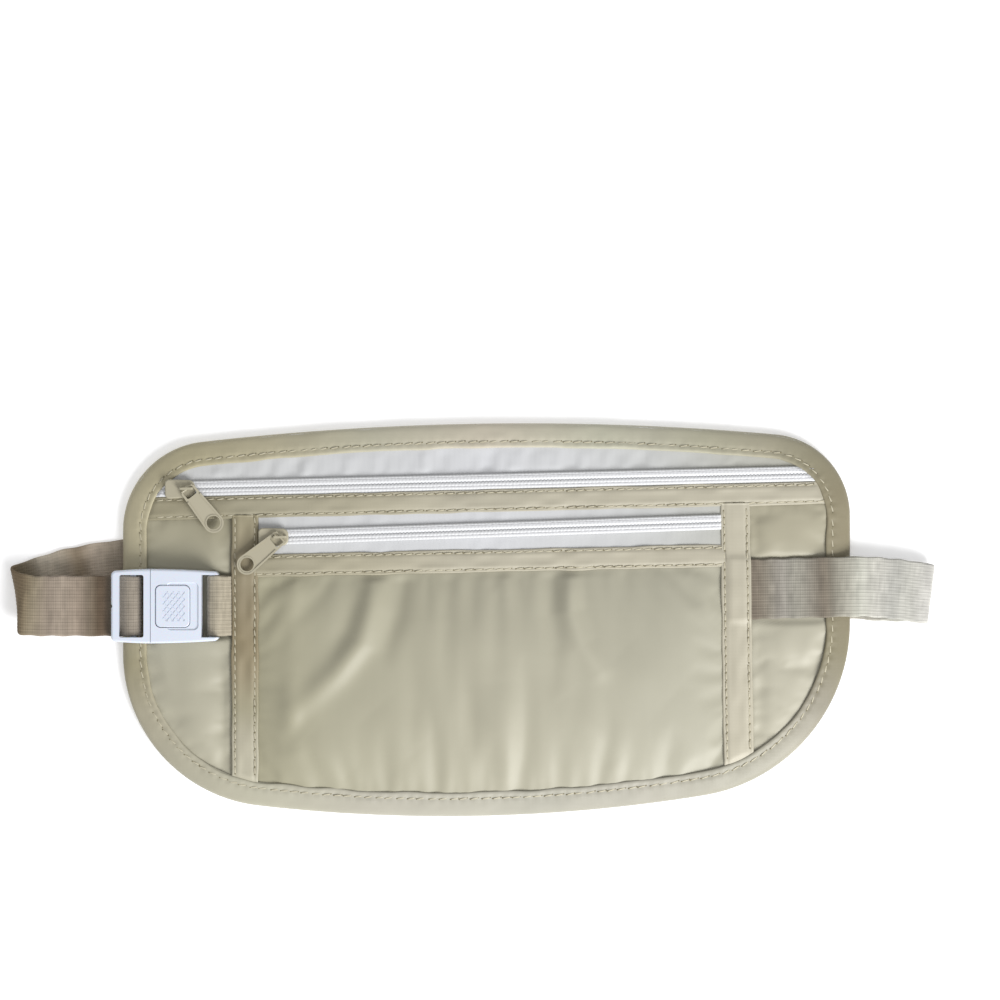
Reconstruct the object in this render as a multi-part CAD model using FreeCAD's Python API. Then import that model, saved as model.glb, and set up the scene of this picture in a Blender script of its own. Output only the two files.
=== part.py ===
import FreeCAD, Part
import math
import os

# Money belt (hidden waist pouch), lying face up.
# Units are millimetres. +X is towards the sewn strap end, +Y is towards the pouch's top edge and +Z is
# out of its front. X = Y = 0 is the middle of the laid-out belt, and Z = 0 is the underside of the waist
# strap's back run, on which the whole belt lies. Everything is drawn about the centre of the pouch's
# outline and moved by BELT_SHIFT_X at the end.

V = FreeCAD.Vector

# --- driving dimensions -----------------------------------------------------------------------------

# pouch outline: two straight sides, two shallow arcs and four corner arcs
SIDE_X = 131.1            # left and right sides
EDGE_Y = 70.9             # crest of the top arc and of the bottom arc
TOP_CREST_X = 14.0
TOP_R = 1016.0
BOTTOM_CREST_X = -15.0
BOTTOM_R = 582.0
CORNER_TL_R = 32.0
CORNER_TR_R = 29.5
CORNER_BL_R = 55.0
CORNER_BR_R = 63.0

# layer heights, each the underside of a layer
BACK_PANEL_Z = 2.0
MAIN_PANEL_Z = 3.4
TAPE_Z = 5.0              # zip tapes and the front pocket's cloth
COVER_Z = 5.5             # bands, cover strips and the binding's front leg
PANEL_T = 0.4
TAPE_T = 0.5
COVER_T = 0.8
SEAM_IN = 0.7             # cloth stops this far inside the binding's fold

BINDING_W = 8.8
BINDING_LEG_T = 0.5
BINDING_BACK_Z = 1.5

# zips: centre line through (0, y0), sloping up to the right
UPPER_ZIP_Y0 = 49.9
UPPER_ZIP_SLOPE = 1.4
LOWER_ZIP_Y0 = 32.4
LOWER_ZIP_SLOPE = 1.96
COIL_W = 2.2
COIL_H = 1.4
COIL_GAP = 1.0
TAPE_GAP = 1.2
UPPER_COIL_X = (-114.4, 111.9)
LOWER_COIL_X = (-81.8, 84.0)

# bands that cover the zips' lower tapes
UPPER_BAND_Y0 = 42.9
UPPER_BAND_SLOPE = 1.4
LOWER_BAND_Y0 = 21.3
LOWER_BAND_SLOPE = 1.23
BAND_W = 8.2

# vertical cover strips beside the front pocket
LEFT_STRIP_X = -86.95
LEFT_STRIP_W = 9.7
RIGHT_STRIP_X = 90.0
RIGHT_STRIP_W = 10.8
RIGHT_STRIP_LEAN = -0.8   # degrees, the foot stands further right

# zip sliders
UPPER_SLIDER_X = -110.2
LOWER_SLIDER_X = -76.6
SLIDER_L = 10.8
SLIDER_FRONT_W = 7.2
SLIDER_REAR_W = 6.0
SLIDER_BASE_Z = 4.1
SLIDER_BASE_T = 0.6
SLIDER_TOP_Z = 7.2
SLIDER_TOP_T = 0.8
CROWN_W = 0.8
CROWN_LEG = 0.7
CROWN_REAR = 1.5          # leg faces either side of the pull tab's bar
CROWN_FRONT = 2.05
CROWN_BRIDGE_Z = 9.8
CROWN_BRIDGE_T = 0.8
PULL_AXIS_Z = 9.1
PULL_AXIS_ALONG = 2.6     # from the slider's middle towards its rear

# pull tabs
PULL_L = 19.2             # hinge axis to tip
PULL_T = 0.9
PULL_RIM_H = 0.35
PULL_RIM_W = 0.6
PULL_HINGE_W = 5.6
PULL_END_W = 7.2
PULL_HOLE_R = 2.45
PULL_HOLE_U = 15.5
PULL_SLOT_W = 4.2
PULL_SLOT_L = 2.9
PULL_BAR = 0.9
PULL_DIP = 3.5            # degrees below level
UPPER_PULL_HEADING = -52.0
LOWER_PULL_HEADING = 219.3

# waist strap
STRAP_W = 21.6
STRAP_T = 1.2
STRAP_RIGHT_Y = 11.0
STRAP_RIGHT_END_X = 160.6
STRAP_LEFT_END_X = -171.3
STRAP_BACK_RUN = ((-161, 5.15), (-152, 12.0), (-136, 17.2), (-110, 20.0), (-60, 21.8), (0, 21.2), (60, 18.4),
                  (110, 14.4), (151, 11.0))
STRAP_SEWN_X = 90.3
BELT_SHIFT_X = -(STRAP_LEFT_END_X + STRAP_RIGHT_END_X) / 2

# side-release buckle with a press pad
BUCKLE_Y = 5.15
BUCKLE_HALF_W = 13.35
BUCKLE_BASE_Z = 6.3
BUCKLE_TOP_Z = 13.3
RAIL_W = 2.15
PART_LINE_X = -120.4
FEMALE_END_X = -95.9
MALE_END_X = -134.5
PLATE_T = 1.3
WINDOW_X = (-118.7, -106.1)
WINDOW_HALF_Y = 7.7
PAD_X = (-118.5, -106.3)
PAD_HALF_Y = 7.5
END_BAR_X = (-99.5, -97.5)
END_BAR_Z = (7.4, 9.4)
OUTER_BAR_W = 2.9
LADDER_BAR_X = (-127.9, -125.7)
LADDER_BAR_Z = (8.1, 10.0)
SHOULDER_W = 2.4
PRONG_TIP_X = -105.5
HOUSING_END_X = -102.1
DISH_DEPTH = 0.45

WEB_T = 0.75


# --- shared helpers ---------------------------------------------------------------------------------

def box(x0, x1, y0, y1, z0, z1):
    return Part.makeBox(x1 - x0, y1 - y0, z1 - z0, V(x0, y0, z0))


def point_on(centre, radius, degrees):
    a = math.radians(degrees)
    return V(centre[0] + radius * math.cos(a), centre[1] + radius * math.sin(a), 0)


def angle_of(centre, p):
    return math.degrees(math.atan2(p[1] - centre[1], p[0] - centre[0]))


def corner(side, big_centre, big_r, r, up):
    """Centre of a corner arc tangent to a straight side and inside a large arc, and its two tangent points."""
    cx = side * (SIDE_X - r)
    rise = math.sqrt((big_r - r) ** 2 - (cx - big_centre[0]) ** 2)
    cy = big_centre[1] + up * rise
    k = big_r / (big_r - r)
    on_big = (big_centre[0] + (cx - big_centre[0]) * k, big_centre[1] + (cy - big_centre[1]) * k)
    return (cx, cy), (side * SIDE_X, cy), on_big


def outline(inset):
    """The pouch's plan shape as a face at Z = 0, moved in from the outer edge by inset."""
    top_c = (TOP_CREST_X, EDGE_Y - TOP_R)
    bottom_c = (BOTTOM_CREST_X, BOTTOM_R - EDGE_Y)
    arcs = []
    for side, big_c, big_r, r, up in (
        (1, top_c, TOP_R, CORNER_TR_R, 1),
        (-1, top_c, TOP_R, CORNER_TL_R, 1),
        (-1, bottom_c, BOTTOM_R, CORNER_BL_R, -1),
        (1, bottom_c, BOTTOM_R, CORNER_BR_R, -1),
    ):
        c, on_side, on_big = corner(side, big_c, big_r, r, up)
        a_side, a_big = angle_of(c, on_side), angle_of(c, on_big)
        if side < 0 and a_side < 0 and up > 0:
            a_side += 360
        if side < 0 and up < 0:
            a_side, a_big = 180.0, a_big + 360
        arcs.append((c, r - inset, a_side, a_big))
    top = (top_c, TOP_R - inset, angle_of(top_c, corner(1, top_c, TOP_R, CORNER_TR_R, 1)[2]),
           angle_of(top_c, corner(-1, top_c, TOP_R, CORNER_TL_R, 1)[2]))
    low = (bottom_c, BOTTOM_R - inset,
           angle_of(bottom_c, corner(-1, bottom_c, BOTTOM_R, CORNER_BL_R, -1)[2]),
           angle_of(bottom_c, corner(1, bottom_c, BOTTOM_R, CORNER_BR_R, -1)[2]))
    order = [arcs[0], top, (arcs[1][0], arcs[1][1], arcs[1][3], arcs[1][2]), arcs[2], low,
             (arcs[3][0], arcs[3][1], arcs[3][3], arcs[3][2])]
    edges = []
    last = first = None
    for c, r, a0, a1 in order:
        p0, pm, p1 = point_on(c, r, a0), point_on(c, r, (a0 + a1) / 2), point_on(c, r, a1)
        if last is None:
            first = p0
        elif last.distanceToPoint(p0) > 1e-6:
            edges.append(Part.LineSegment(last, p0).toShape())
        edges.append(Part.Arc(p0, pm, p1).toShape())
        last = p1
    edges.append(Part.LineSegment(last, first).toShape())
    return Part.Face(Part.Wire(edges))


def plate(face, z0, z1):
    s = face.copy()
    s.translate(V(0, 0, z0))
    return s.extrude(V(0, 0, z1 - z0))


def cloth(inset, z0, z1):
    return plate(outline(inset), z0, z1)


def turned(shape, x, y, degrees):
    """Place a shape drawn about the origin at (x, y), turned about +Z."""
    s = shape.copy()
    s.rotate(V(0, 0, 0), V(0, 0, 1), degrees)
    s.translate(V(x, y, 0))
    return s


def line_y(y0, slope, x):
    return y0 + x * math.tan(math.radians(slope))


def along(y0, slope, x0, x1, low, high, z0, z1):
    """A straight bar beside the sloping line through (0, y0): x0..x1 along it and low..high across it."""
    c = math.cos(math.radians(slope))
    return turned(box(x0 / c, x1 / c, low, high, z0, z1), 0, y0, slope)


def half_plane(y0, slope, above, z0, z1):
    """Everything above or below a sloping line, as a big block."""
    low, high = (0, 300) if above else (-300, 0)
    return along(y0, slope, -300, 300, low, high, z0, z1)


def upright(x, lean, low, high, z0, z1):
    """A tall block whose long sides follow a cover strip's centre line, low..high across it."""
    return turned(box(low, high, -200, 200, z0, z1), x, 0, lean)


def stroke(points, thickness, y0, y1):
    """A ribbon seen edge-on: a chain of straight lengths in XZ with round joins, y0..y1 wide."""
    solid = None
    r = thickness / 2
    for (xa, za), (xb, zb) in zip(points, points[1:]):
        length = math.hypot(xb - xa, zb - za)
        s = box(0, length, y0, y1, -r, r)
        s.rotate(V(0, 0, 0), V(0, 1, 0), -math.degrees(math.atan2(zb - za, xb - xa)))
        s.translate(V(xa, 0, za))
        solid = s if solid is None else solid.fuse(s)
    for x, z in points[1:-1]:
        solid = solid.fuse(Part.makeCylinder(r, y1 - y0, V(x, y0, z), V(0, 1, 0)))
    return solid.removeSplitter()


def fold(x, z, outer_r, thickness, y0, y1, side):
    """Half a turn of ribbon about an axis along Y at (x, z), bulging to side."""
    ring = Part.makeCylinder(outer_r, y1 - y0, V(x, y0, z), V(0, 1, 0))
    ring = ring.cut(Part.makeCylinder(outer_r - thickness, y1 - y0, V(x, y0, z), V(0, 1, 0)))
    keep = box(x, x + 50, y0, y1, z - 50, z + 50) if side > 0 else box(x - 50, x, y0, y1, z - 50, z + 50)
    return ring.common(keep)


def rounded(shape, radius, chosen):
    """Fillet the edges for which chosen(edge) holds."""
    edges = [e for e in shape.Edges if chosen(e)]
    return shape.makeFillet(radius, edges) if edges else shape


def is_vertical(e):
    return abs(e.Vertexes[0].X - e.Vertexes[-1].X) < 1e-6 and abs(e.Vertexes[0].Y - e.Vertexes[-1].Y) < 1e-6


# --- cloth ------------------------------------------------------------------------------------------

def make_back_panel():
    return cloth(SEAM_IN, BACK_PANEL_Z, BACK_PANEL_Z + PANEL_T)


def make_main_panel():
    """Front wall of the large pocket, with a hem that stands up under the upper band."""
    sheet = cloth(SEAM_IN, MAIN_PANEL_Z, MAIN_PANEL_Z + PANEL_T)
    sheet = sheet.common(half_plane(UPPER_BAND_Y0 + 0.75, UPPER_BAND_SLOPE, False, 0, 20))
    hem = along(UPPER_BAND_Y0, UPPER_BAND_SLOPE, -140, 140, -0.75, 0.75, MAIN_PANEL_Z + PANEL_T, TAPE_Z - 0.05)
    return sheet.fuse(hem.common(cloth(SEAM_IN, 0, 20))).removeSplitter()


def between_strips(z0, z1):
    right_of_left = upright(LEFT_STRIP_X, 0, 0.2, 400, z0, z1)
    left_of_right = upright(RIGHT_STRIP_X, -RIGHT_STRIP_LEAN, -400, -0.2, z0, z1)
    return right_of_left.common(left_of_right)


def make_front_pocket_panel():
    sheet = cloth(SEAM_IN, TAPE_Z, TAPE_Z + PANEL_T).common(between_strips(0, 20))
    return sheet.common(half_plane(LOWER_BAND_Y0 - 0.1, LOWER_BAND_SLOPE, False, 0, 20))


def make_edge_binding():
    """Folded strip that grips the rim: a front leg, a back leg and the fold that joins them."""
    front_z = COVER_Z + BINDING_LEG_T
    web = cloth(0, BINDING_BACK_Z, front_z).cut(cloth(0.6, 0, 20))
    front = cloth(0, COVER_Z, front_z)
    back = cloth(0, BINDING_BACK_Z, BINDING_BACK_Z + BINDING_LEG_T)
    legs = front.fuse(back).cut(cloth(BINDING_W, 0, 20))
    return web.fuse(legs).removeSplitter()


def band(y0, slope, x0, x1):
    s = along(y0, slope, x0, x1, -BAND_W / 2, BAND_W / 2, COVER_Z, COVER_Z + COVER_T)
    return s


def make_upper_zip_band():
    return band(UPPER_BAND_Y0, UPPER_BAND_SLOPE, -140, 140).common(cloth(BINDING_W + 0.05, 0, 20))


def make_lower_zip_band():
    x0 = LEFT_STRIP_X + LEFT_STRIP_W / 2 + 0.2
    lean = upright(RIGHT_STRIP_X, -RIGHT_STRIP_LEAN, -400, -RIGHT_STRIP_W / 2 - 0.05, 0, 20)
    return band(LOWER_BAND_Y0, LOWER_BAND_SLOPE, x0, 140).common(lean)


def strip(x, lean, width):
    s = upright(x, lean, -width / 2, width / 2, COVER_Z, COVER_Z + COVER_T)
    s = s.common(half_plane(UPPER_BAND_Y0 - BAND_W / 2 - 0.05, UPPER_BAND_SLOPE, False, 0, 20))
    return s.common(cloth(BINDING_W + 0.05, 0, 20))


# --- zips -------------------------------------------------------------------------------------------

def make_upper_tape_upper():
    """Tape above the upper chain, sewn into the rim."""
    s = cloth(SEAM_IN, TAPE_Z, TAPE_Z + TAPE_T)
    return s.common(along(UPPER_ZIP_Y0, UPPER_ZIP_SLOPE, -300, 300, TAPE_GAP / 2, 300, 0, 20))


def make_upper_tape_lower():
    """Tape below the upper chain, sewn under the upper band."""
    drop = UPPER_BAND_Y0 - UPPER_ZIP_Y0 + 0.1
    s = along(UPPER_ZIP_Y0, UPPER_ZIP_SLOPE, -300, 300, drop, -TAPE_GAP / 2, TAPE_Z, TAPE_Z + TAPE_T)
    return s.common(cloth(SEAM_IN, 0, 20))


def make_lower_tape_upper():
    s = half_plane(UPPER_BAND_Y0 - 0.1, UPPER_BAND_SLOPE, False, TAPE_Z, TAPE_Z + TAPE_T)
    s = s.common(along(LOWER_ZIP_Y0, LOWER_ZIP_SLOPE, -300, 300, TAPE_GAP / 2, 300, 0, 20))
    return s.common(between_strips(0, 20))


def make_lower_tape_lower():
    s = half_plane(LOWER_BAND_Y0 + 0.1, LOWER_BAND_SLOPE, True, TAPE_Z, TAPE_Z + TAPE_T)
    s = s.common(along(LOWER_ZIP_Y0, LOWER_ZIP_SLOPE, -300, 300, -300, -TAPE_GAP / 2, 0, 20))
    return s.common(between_strips(0, 20))


def coil(y0, slope, span, side):
    """One half of the closed chain, with its top edges rounded."""
    inner, outer = COIL_GAP / 2, COIL_GAP / 2 + COIL_W
    z0 = TAPE_Z + TAPE_T
    low, high = (inner, outer) if side > 0 else (-outer, -inner)
    s = box(span[0], span[1], low, high, z0, z0 + COIL_H)
    s = rounded(s, 0.6, lambda e: e.Length > 50 and e.CenterOfMass.z > z0 + COIL_H - 0.01)
    return turned(s, 0, y0, slope)


def plan_taper(x0, x1, w0, w1, z0, z1):
    """Plate with a wide end and a narrower, rounder one."""
    pts = [V(x0, -w0 / 2, z0), V(x1, -w1 / 2, z0), V(x1, w1 / 2, z0), V(x0, w0 / 2, z0)]
    solid = Part.Face(Part.makePolygon(pts + pts[:1])).extrude(V(0, 0, z1 - z0))
    solid = rounded(solid, 1.7, lambda e: is_vertical(e) and abs(e.CenterOfMass.x - x0) < 0.01)
    return rounded(solid, 2.3, lambda e: is_vertical(e) and abs(e.CenterOfMass.x - x1) < 0.01)


def slider_body():
    """Slider drawn about its own middle, front (wide) end towards -X."""
    half = SLIDER_L / 2
    top_z = SLIDER_TOP_Z + SLIDER_TOP_T
    base = plan_taper(-half, half, SLIDER_FRONT_W - 0.4, SLIDER_REAR_W - 0.4, SLIDER_BASE_Z,
                      SLIDER_BASE_Z + SLIDER_BASE_T)
    roof = plan_taper(-half, half, SLIDER_FRONT_W, SLIDER_REAR_W, SLIDER_TOP_Z, top_z)
    roof = rounded(roof, 0.55, lambda e: e.CenterOfMass.z > top_z - 0.01)
    body = base.fuse(roof)
    # lips that hold the coils in, above the bands
    lip_in = COIL_GAP / 2 + COIL_W + 0.1
    for side in (-1, 1):
        y = sorted((side * lip_in, side * (lip_in + 0.35)))
        body = body.fuse(box(-half + 1.3, half - 2.2, y[0], y[1], 6.65, SLIDER_TOP_Z + 0.1))
    # divider post that joins roof and base and parts the two coils
    body = body.fuse(box(-half + 0.8, -half + 3.4, -0.4, 0.4, SLIDER_BASE_Z + 0.1, SLIDER_TOP_Z + 0.1))
    # crown: an arch over the pull tab's bar
    front, rear = PULL_AXIS_ALONG - CROWN_FRONT, PULL_AXIS_ALONG + CROWN_REAR
    crown_z = CROWN_BRIDGE_Z + CROWN_BRIDGE_T
    arch = box(front - CROWN_LEG, rear + CROWN_LEG, -CROWN_W / 2, CROWN_W / 2, top_z - 0.1, crown_z)
    arch = rounded(arch, 0.6, lambda e: e.CenterOfMass.z > crown_z - 0.01 and abs(e.CenterOfMass.y) < 0.01)
    arch = arch.cut(box(front, rear, -2, 2, 0, CROWN_BRIDGE_Z))
    return body.fuse(arch).removeSplitter()


def tab_face(grow):
    """Plan of the pull tab, hinge bar at the origin and free end towards +X, moved out by grow."""
    h, e = PULL_HINGE_W / 2 + grow, PULL_END_W / 2 + grow
    back = -PULL_BAR / 2 - grow
    cx = PULL_L - PULL_END_W / 2
    pts = [V(cx, e, 0), V(back + 1, h, 0), V(back, h - 1, 0), V(back, 1 - h, 0), V(back + 1, -h, 0), V(cx, -e, 0)]
    edges = [Part.LineSegment(a, b).toShape() for a, b in zip(pts, pts[1:])]
    edges.append(Part.Arc(pts[-1], V(cx + e, 0, 0), pts[0]).toShape())
    return Part.Face(Part.Wire(edges))


def pull_tab():
    """Tab drawn level about its hinge axis, with a raised rim round its face."""
    half = PULL_T / 2
    solid = plate(tab_face(0), -half, half + PULL_RIM_H)
    tray = plate(tab_face(-PULL_RIM_W), half, 10).common(box(PULL_SLOT_L + 1.3, 50, -9, 9, -9, 9))
    solid = solid.cut(tray)
    # the hinge end is left at the plain thickness so that it turns inside the crown
    solid = solid.cut(box(-3, PULL_SLOT_L + 1.3, -9, 9, half, 9))
    ring = Part.makeCylinder(PULL_HOLE_R + 0.5, PULL_T + PULL_RIM_H * 0.6, V(PULL_HOLE_U, 0, -half))
    solid = solid.fuse(ring).cut(Part.makeCylinder(PULL_HOLE_R, 9, V(PULL_HOLE_U, 0, -4)))
    slot = box(-9, PULL_BAR / 2 + PULL_SLOT_L, -PULL_SLOT_W / 2, PULL_SLOT_W / 2, -9, 9)
    slot = rounded(slot, 0.6, lambda e: is_vertical(e) and e.CenterOfMass.x > 1)
    # the hinge bar is round
    solid = solid.cut(slot).cut(box(-9, 0, -9, 9, -9, 9))
    bar_half = PULL_HINGE_W / 2 - 0.3
    bar = Part.makeCylinder(PULL_BAR / 2, 2 * bar_half, V(0, -bar_half, 0), V(0, 1, 0))
    return solid.fuse(bar).removeSplitter()


def placed_slider(x, y0, slope):
    return turned(slider_body(), x, line_y(y0, slope, x), slope)


def pull_axis(x, y0, slope):
    a = math.radians(slope)
    return V(x + PULL_AXIS_ALONG * math.cos(a), line_y(y0, slope, x) + PULL_AXIS_ALONG * math.sin(a), PULL_AXIS_Z)


def placed_pull(x, y0, slope, heading):
    s = pull_tab()
    s.rotate(V(0, 0, 0), V(0, 1, 0), PULL_DIP)
    s.rotate(V(0, 0, 0), V(0, 0, 1), heading)
    s.translate(pull_axis(x, y0, slope))
    return s


# --- strap ------------------------------------------------------------------------------------------

def make_waist_strap():
    """Elastic webbing: sewn under the right strip, round behind the pouch and through the buckle's bars."""
    t, half = STRAP_T, STRAP_W / 2
    mid = t / 2
    # right: rises over the binding, turns and goes behind the pouch
    y0, y1 = STRAP_RIGHT_Y - half, STRAP_RIGHT_Y + half
    run_z = 6.9
    turn_r = (run_z + mid) / 2
    turn_x = STRAP_RIGHT_END_X - turn_r
    right = stroke([(STRAP_SEWN_X, 4.75), (106, 4.75), (116, run_z), (turn_x, run_z)], t, y0, y1)
    right = right.fuse(fold(turn_x, turn_r, turn_r, t, y0, y1, 1))
    right = right.fuse(box(150, turn_x, y0, y1, 0, t))
    # left: from behind the pouch, round and through the buckle, with a short free tail
    y2, y3 = BUCKLE_Y - half, BUCKLE_Y + half
    low_z, high_z = 7.2, 8.7
    fold_r = (high_z + mid) / 2
    fold_x = STRAP_LEFT_END_X + fold_r
    over_z = LADDER_BAR_Z[1] + 0.9
    down_x = LADDER_BAR_X[1] + 1.0
    ramp_x = MALE_END_X + OUTER_BAR_W + 0.2
    left = stroke([(fold_x, high_z), (ramp_x, high_z), (ramp_x + 2.8, over_z), (down_x, over_z),
                   (down_x, low_z), (-158.0, low_z)], t, y2, y3)
    left = left.fuse(fold(fold_x, fold_r, fold_r, t, y2, y3, -1))
    left = left.fuse(box(fold_x, -160, y2, y3, 0, t))
    # back run: rises steeply from the left fold, then one gentle arch in plan
    edges = []
    for s in (-1, 1):
        curve = Part.BSplineCurve()
        curve.interpolate([V(x, y + s * half, 0) for x, y in STRAP_BACK_RUN])
        edges.append(curve.toShape())
    ends = [Part.LineSegment(V(x, y - half, 0), V(x, y + half, 0)).toShape()
            for x, y in (STRAP_BACK_RUN[0], STRAP_BACK_RUN[-1])]
    back = plate(Part.Face(Part.Wire(Part.__sortEdges__(edges + ends))), 0, t)
    return right.fuse(left).fuse(back).removeSplitter()


def make_anchor_webbing():
    """Doubled webbing sewn under the left strip and looped round the buckle's end bar."""
    y0, y1 = BUCKLE_Y - STRAP_W / 2, BUCKLE_Y + STRAP_W / 2
    r = WEB_T / 2
    under, over = END_BAR_Z[0] - 0.15 - r, END_BAR_Z[1] + 0.15 + r
    near, far = END_BAR_X[1] + 0.15 + r, END_BAR_X[0] - 0.15 - r
    sewn = LEFT_STRIP_X - 0.3
    loop = [(sewn, 4.35), (-92.4, 4.35), (near, under), (far, under), (far, over), (near, over),
            (-92.4, 5.05), (sewn, 5.05)]
    return stroke(loop, WEB_T, y0, y1)


# --- buckle -----------------------------------------------------------------------------------------

def across(x0, x1, low, high, z0, z1):
    """A block placed across the buckle, with Y measured from the buckle's own centre line."""
    return box(x0, x1, BUCKLE_Y + low, BUCKLE_Y + high, z0, z1)


def both_sides(x0, x1, inner, outer, z0, z1):
    return across(x0, x1, inner, outer, z0, z1).fuse(across(x0, x1, -outer, -inner, z0, z1))


def buckle_block(wide_x, end_x, end_half, z0, z1):
    """Outer block of one buckle half: full width at the parting line, bowed sides, narrower rounded end."""
    w = BUCKLE_HALF_W
    mid_x, mid_half = (wide_x + end_x) / 2, w - 0.3 * (w - end_half)
    y = BUCKLE_Y
    upper = Part.Arc(V(wide_x, y + w, z0), V(mid_x, y + mid_half, z0), V(end_x, y + end_half, z0)).toShape()
    lower = Part.Arc(V(end_x, y - end_half, z0), V(mid_x, y - mid_half, z0), V(wide_x, y - w, z0)).toShape()
    end = Part.LineSegment(V(end_x, y + end_half, z0), V(end_x, y - end_half, z0)).toShape()
    wide = Part.LineSegment(V(wide_x, y - w, z0), V(wide_x, y + w, z0)).toShape()
    block = Part.Face(Part.Wire([upper, end, lower, wide])).extrude(V(0, 0, z1 - z0))
    block = rounded(block, 1.8, lambda e: is_vertical(e) and abs(e.CenterOfMass.x - end_x) < 0.01)
    return rounded(block, 0.9, lambda e: e.CenterOfMass.z > z1 - 0.01 and abs(e.CenterOfMass.x - wide_x) > 0.01)


def make_buckle_female():
    """Housing with a window, and two arms that carry the end bar."""
    w = BUCKLE_HALF_W
    x0 = PART_LINE_X + 0.15
    wall_x = HOUSING_END_X - 1.3
    body = buckle_block(x0, FEMALE_END_X, w - 1.0, BUCKLE_BASE_Z, BUCKLE_TOP_Z)
    # opening for the webbing between the arms
    body = body.cut(across(HOUSING_END_X, 0, -w + RAIL_W, w - RAIL_W, 0, 20))
    body = body.fuse(across(END_BAR_X[0], END_BAR_X[1], -w + RAIL_W - 0.3, w - RAIL_W + 0.3, *END_BAR_Z))
    # shallow dish round the far end of the pad, then the cavity and the window for the pad
    z0, z1 = BUCKLE_BASE_Z + PLATE_T, BUCKLE_TOP_Z - PLATE_T
    dish = across(WINDOW_X[0] + 4, HOUSING_END_X - 1.0, -WINDOW_HALF_Y - 0.9, WINDOW_HALF_Y + 0.9,
                  BUCKLE_TOP_Z - DISH_DEPTH, 20)
    dish = rounded(dish, 1.8, is_vertical)
    dish = rounded(dish, 0.4, lambda e: e.CenterOfMass.z < BUCKLE_TOP_Z - DISH_DEPTH + 0.01)
    body = body.cut(dish)
    body = body.cut(across(x0 - 1, wall_x, -w + RAIL_W, w - RAIL_W, z0, z1))
    window = across(WINDOW_X[0], WINDOW_X[1], -WINDOW_HALF_Y, WINDOW_HALF_Y, z1 - 1, 20)
    window = rounded(window, 2.0, is_vertical)
    return body.cut(window).removeSplitter()


def make_buckle_male():
    """Frame with an outer bar, a ladder bar for the strap, a shoulder and two guide prongs."""
    w = BUCKLE_HALF_W
    shoulder_x = PART_LINE_X - SHOULDER_W
    low, high = BUCKLE_BASE_Z + 0.2, BUCKLE_TOP_Z - 0.2
    frame = buckle_block(PART_LINE_X, MALE_END_X, w - 0.8, low, high)
    slot = across(MALE_END_X + OUTER_BAR_W, shoulder_x, -w + RAIL_W, w - RAIL_W, 0, 20)
    frame = frame.cut(rounded(slot, 0.8, is_vertical))
    # the strap and its tail pass beneath the outer bar
    frame = frame.cut(across(MALE_END_X - 1, MALE_END_X + OUTER_BAR_W + 1, -w + RAIL_W, w - RAIL_W, 0, 9.6))
    frame = frame.cut(Part.makeCylinder(0.7, 9, V(MALE_END_X - 0.2, BUCKLE_Y, 9)))
    frame = frame.fuse(across(LADDER_BAR_X[0], LADDER_BAR_X[1], -w + 1.6, w - 1.6, *LADDER_BAR_Z))
    prongs = both_sides(PART_LINE_X - 0.5, PRONG_TIP_X, 8.6, 10.8, 8.2, 11.4)
    prongs = rounded(prongs, 0.9, lambda e: is_vertical(e) and e.CenterOfMass.x > PRONG_TIP_X - 0.01)
    return frame.fuse(prongs).removeSplitter()


def make_release_tongue():
    """Tongue in the middle of the male half; its pad fills the window and catches on the window's rim."""
    root_x = PART_LINE_X + 0.3
    leaf = across(root_x, PAD_X[1] + 0.3, -6.4, 6.4, 9.3, 10.4)
    pad = across(PAD_X[0], PAD_X[1], -PAD_HALF_Y, PAD_HALF_Y, 10.2, BUCKLE_TOP_Z - 0.1)
    pad = rounded(pad, 1.9, is_vertical)
    pad = rounded(pad, 0.4, lambda e: e.CenterOfMass.z > BUCKLE_TOP_Z - 0.11)
    tongue = leaf.fuse(pad)
    # grip: crossed grooves that leave small diamonds
    pitch = 1.6
    top = BUCKLE_TOP_Z - 0.1
    cx = (PAD_X[0] + PAD_X[1]) / 2
    grooves = None
    for k in range(-6, 7):
        for turn in (-50, 50):
            g = box(-20, 20, k * pitch - 0.17, k * pitch + 0.17, top - 0.22, top + 1)
            g.rotate(V(0, 0, 0), V(0, 0, 1), turn)
            g.translate(V(cx, BUCKLE_Y, 0))
            grooves = g if grooves is None else grooves.fuse(g)
    field = across(PAD_X[0] + 2.6, PAD_X[1] - 1.8, -PAD_HALF_Y + 2.2, PAD_HALF_Y - 2.2, 0, 20)
    return tongue.cut(grooves.common(field)).removeSplitter()


# --- assembly ---------------------------------------------------------------------------------------

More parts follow.
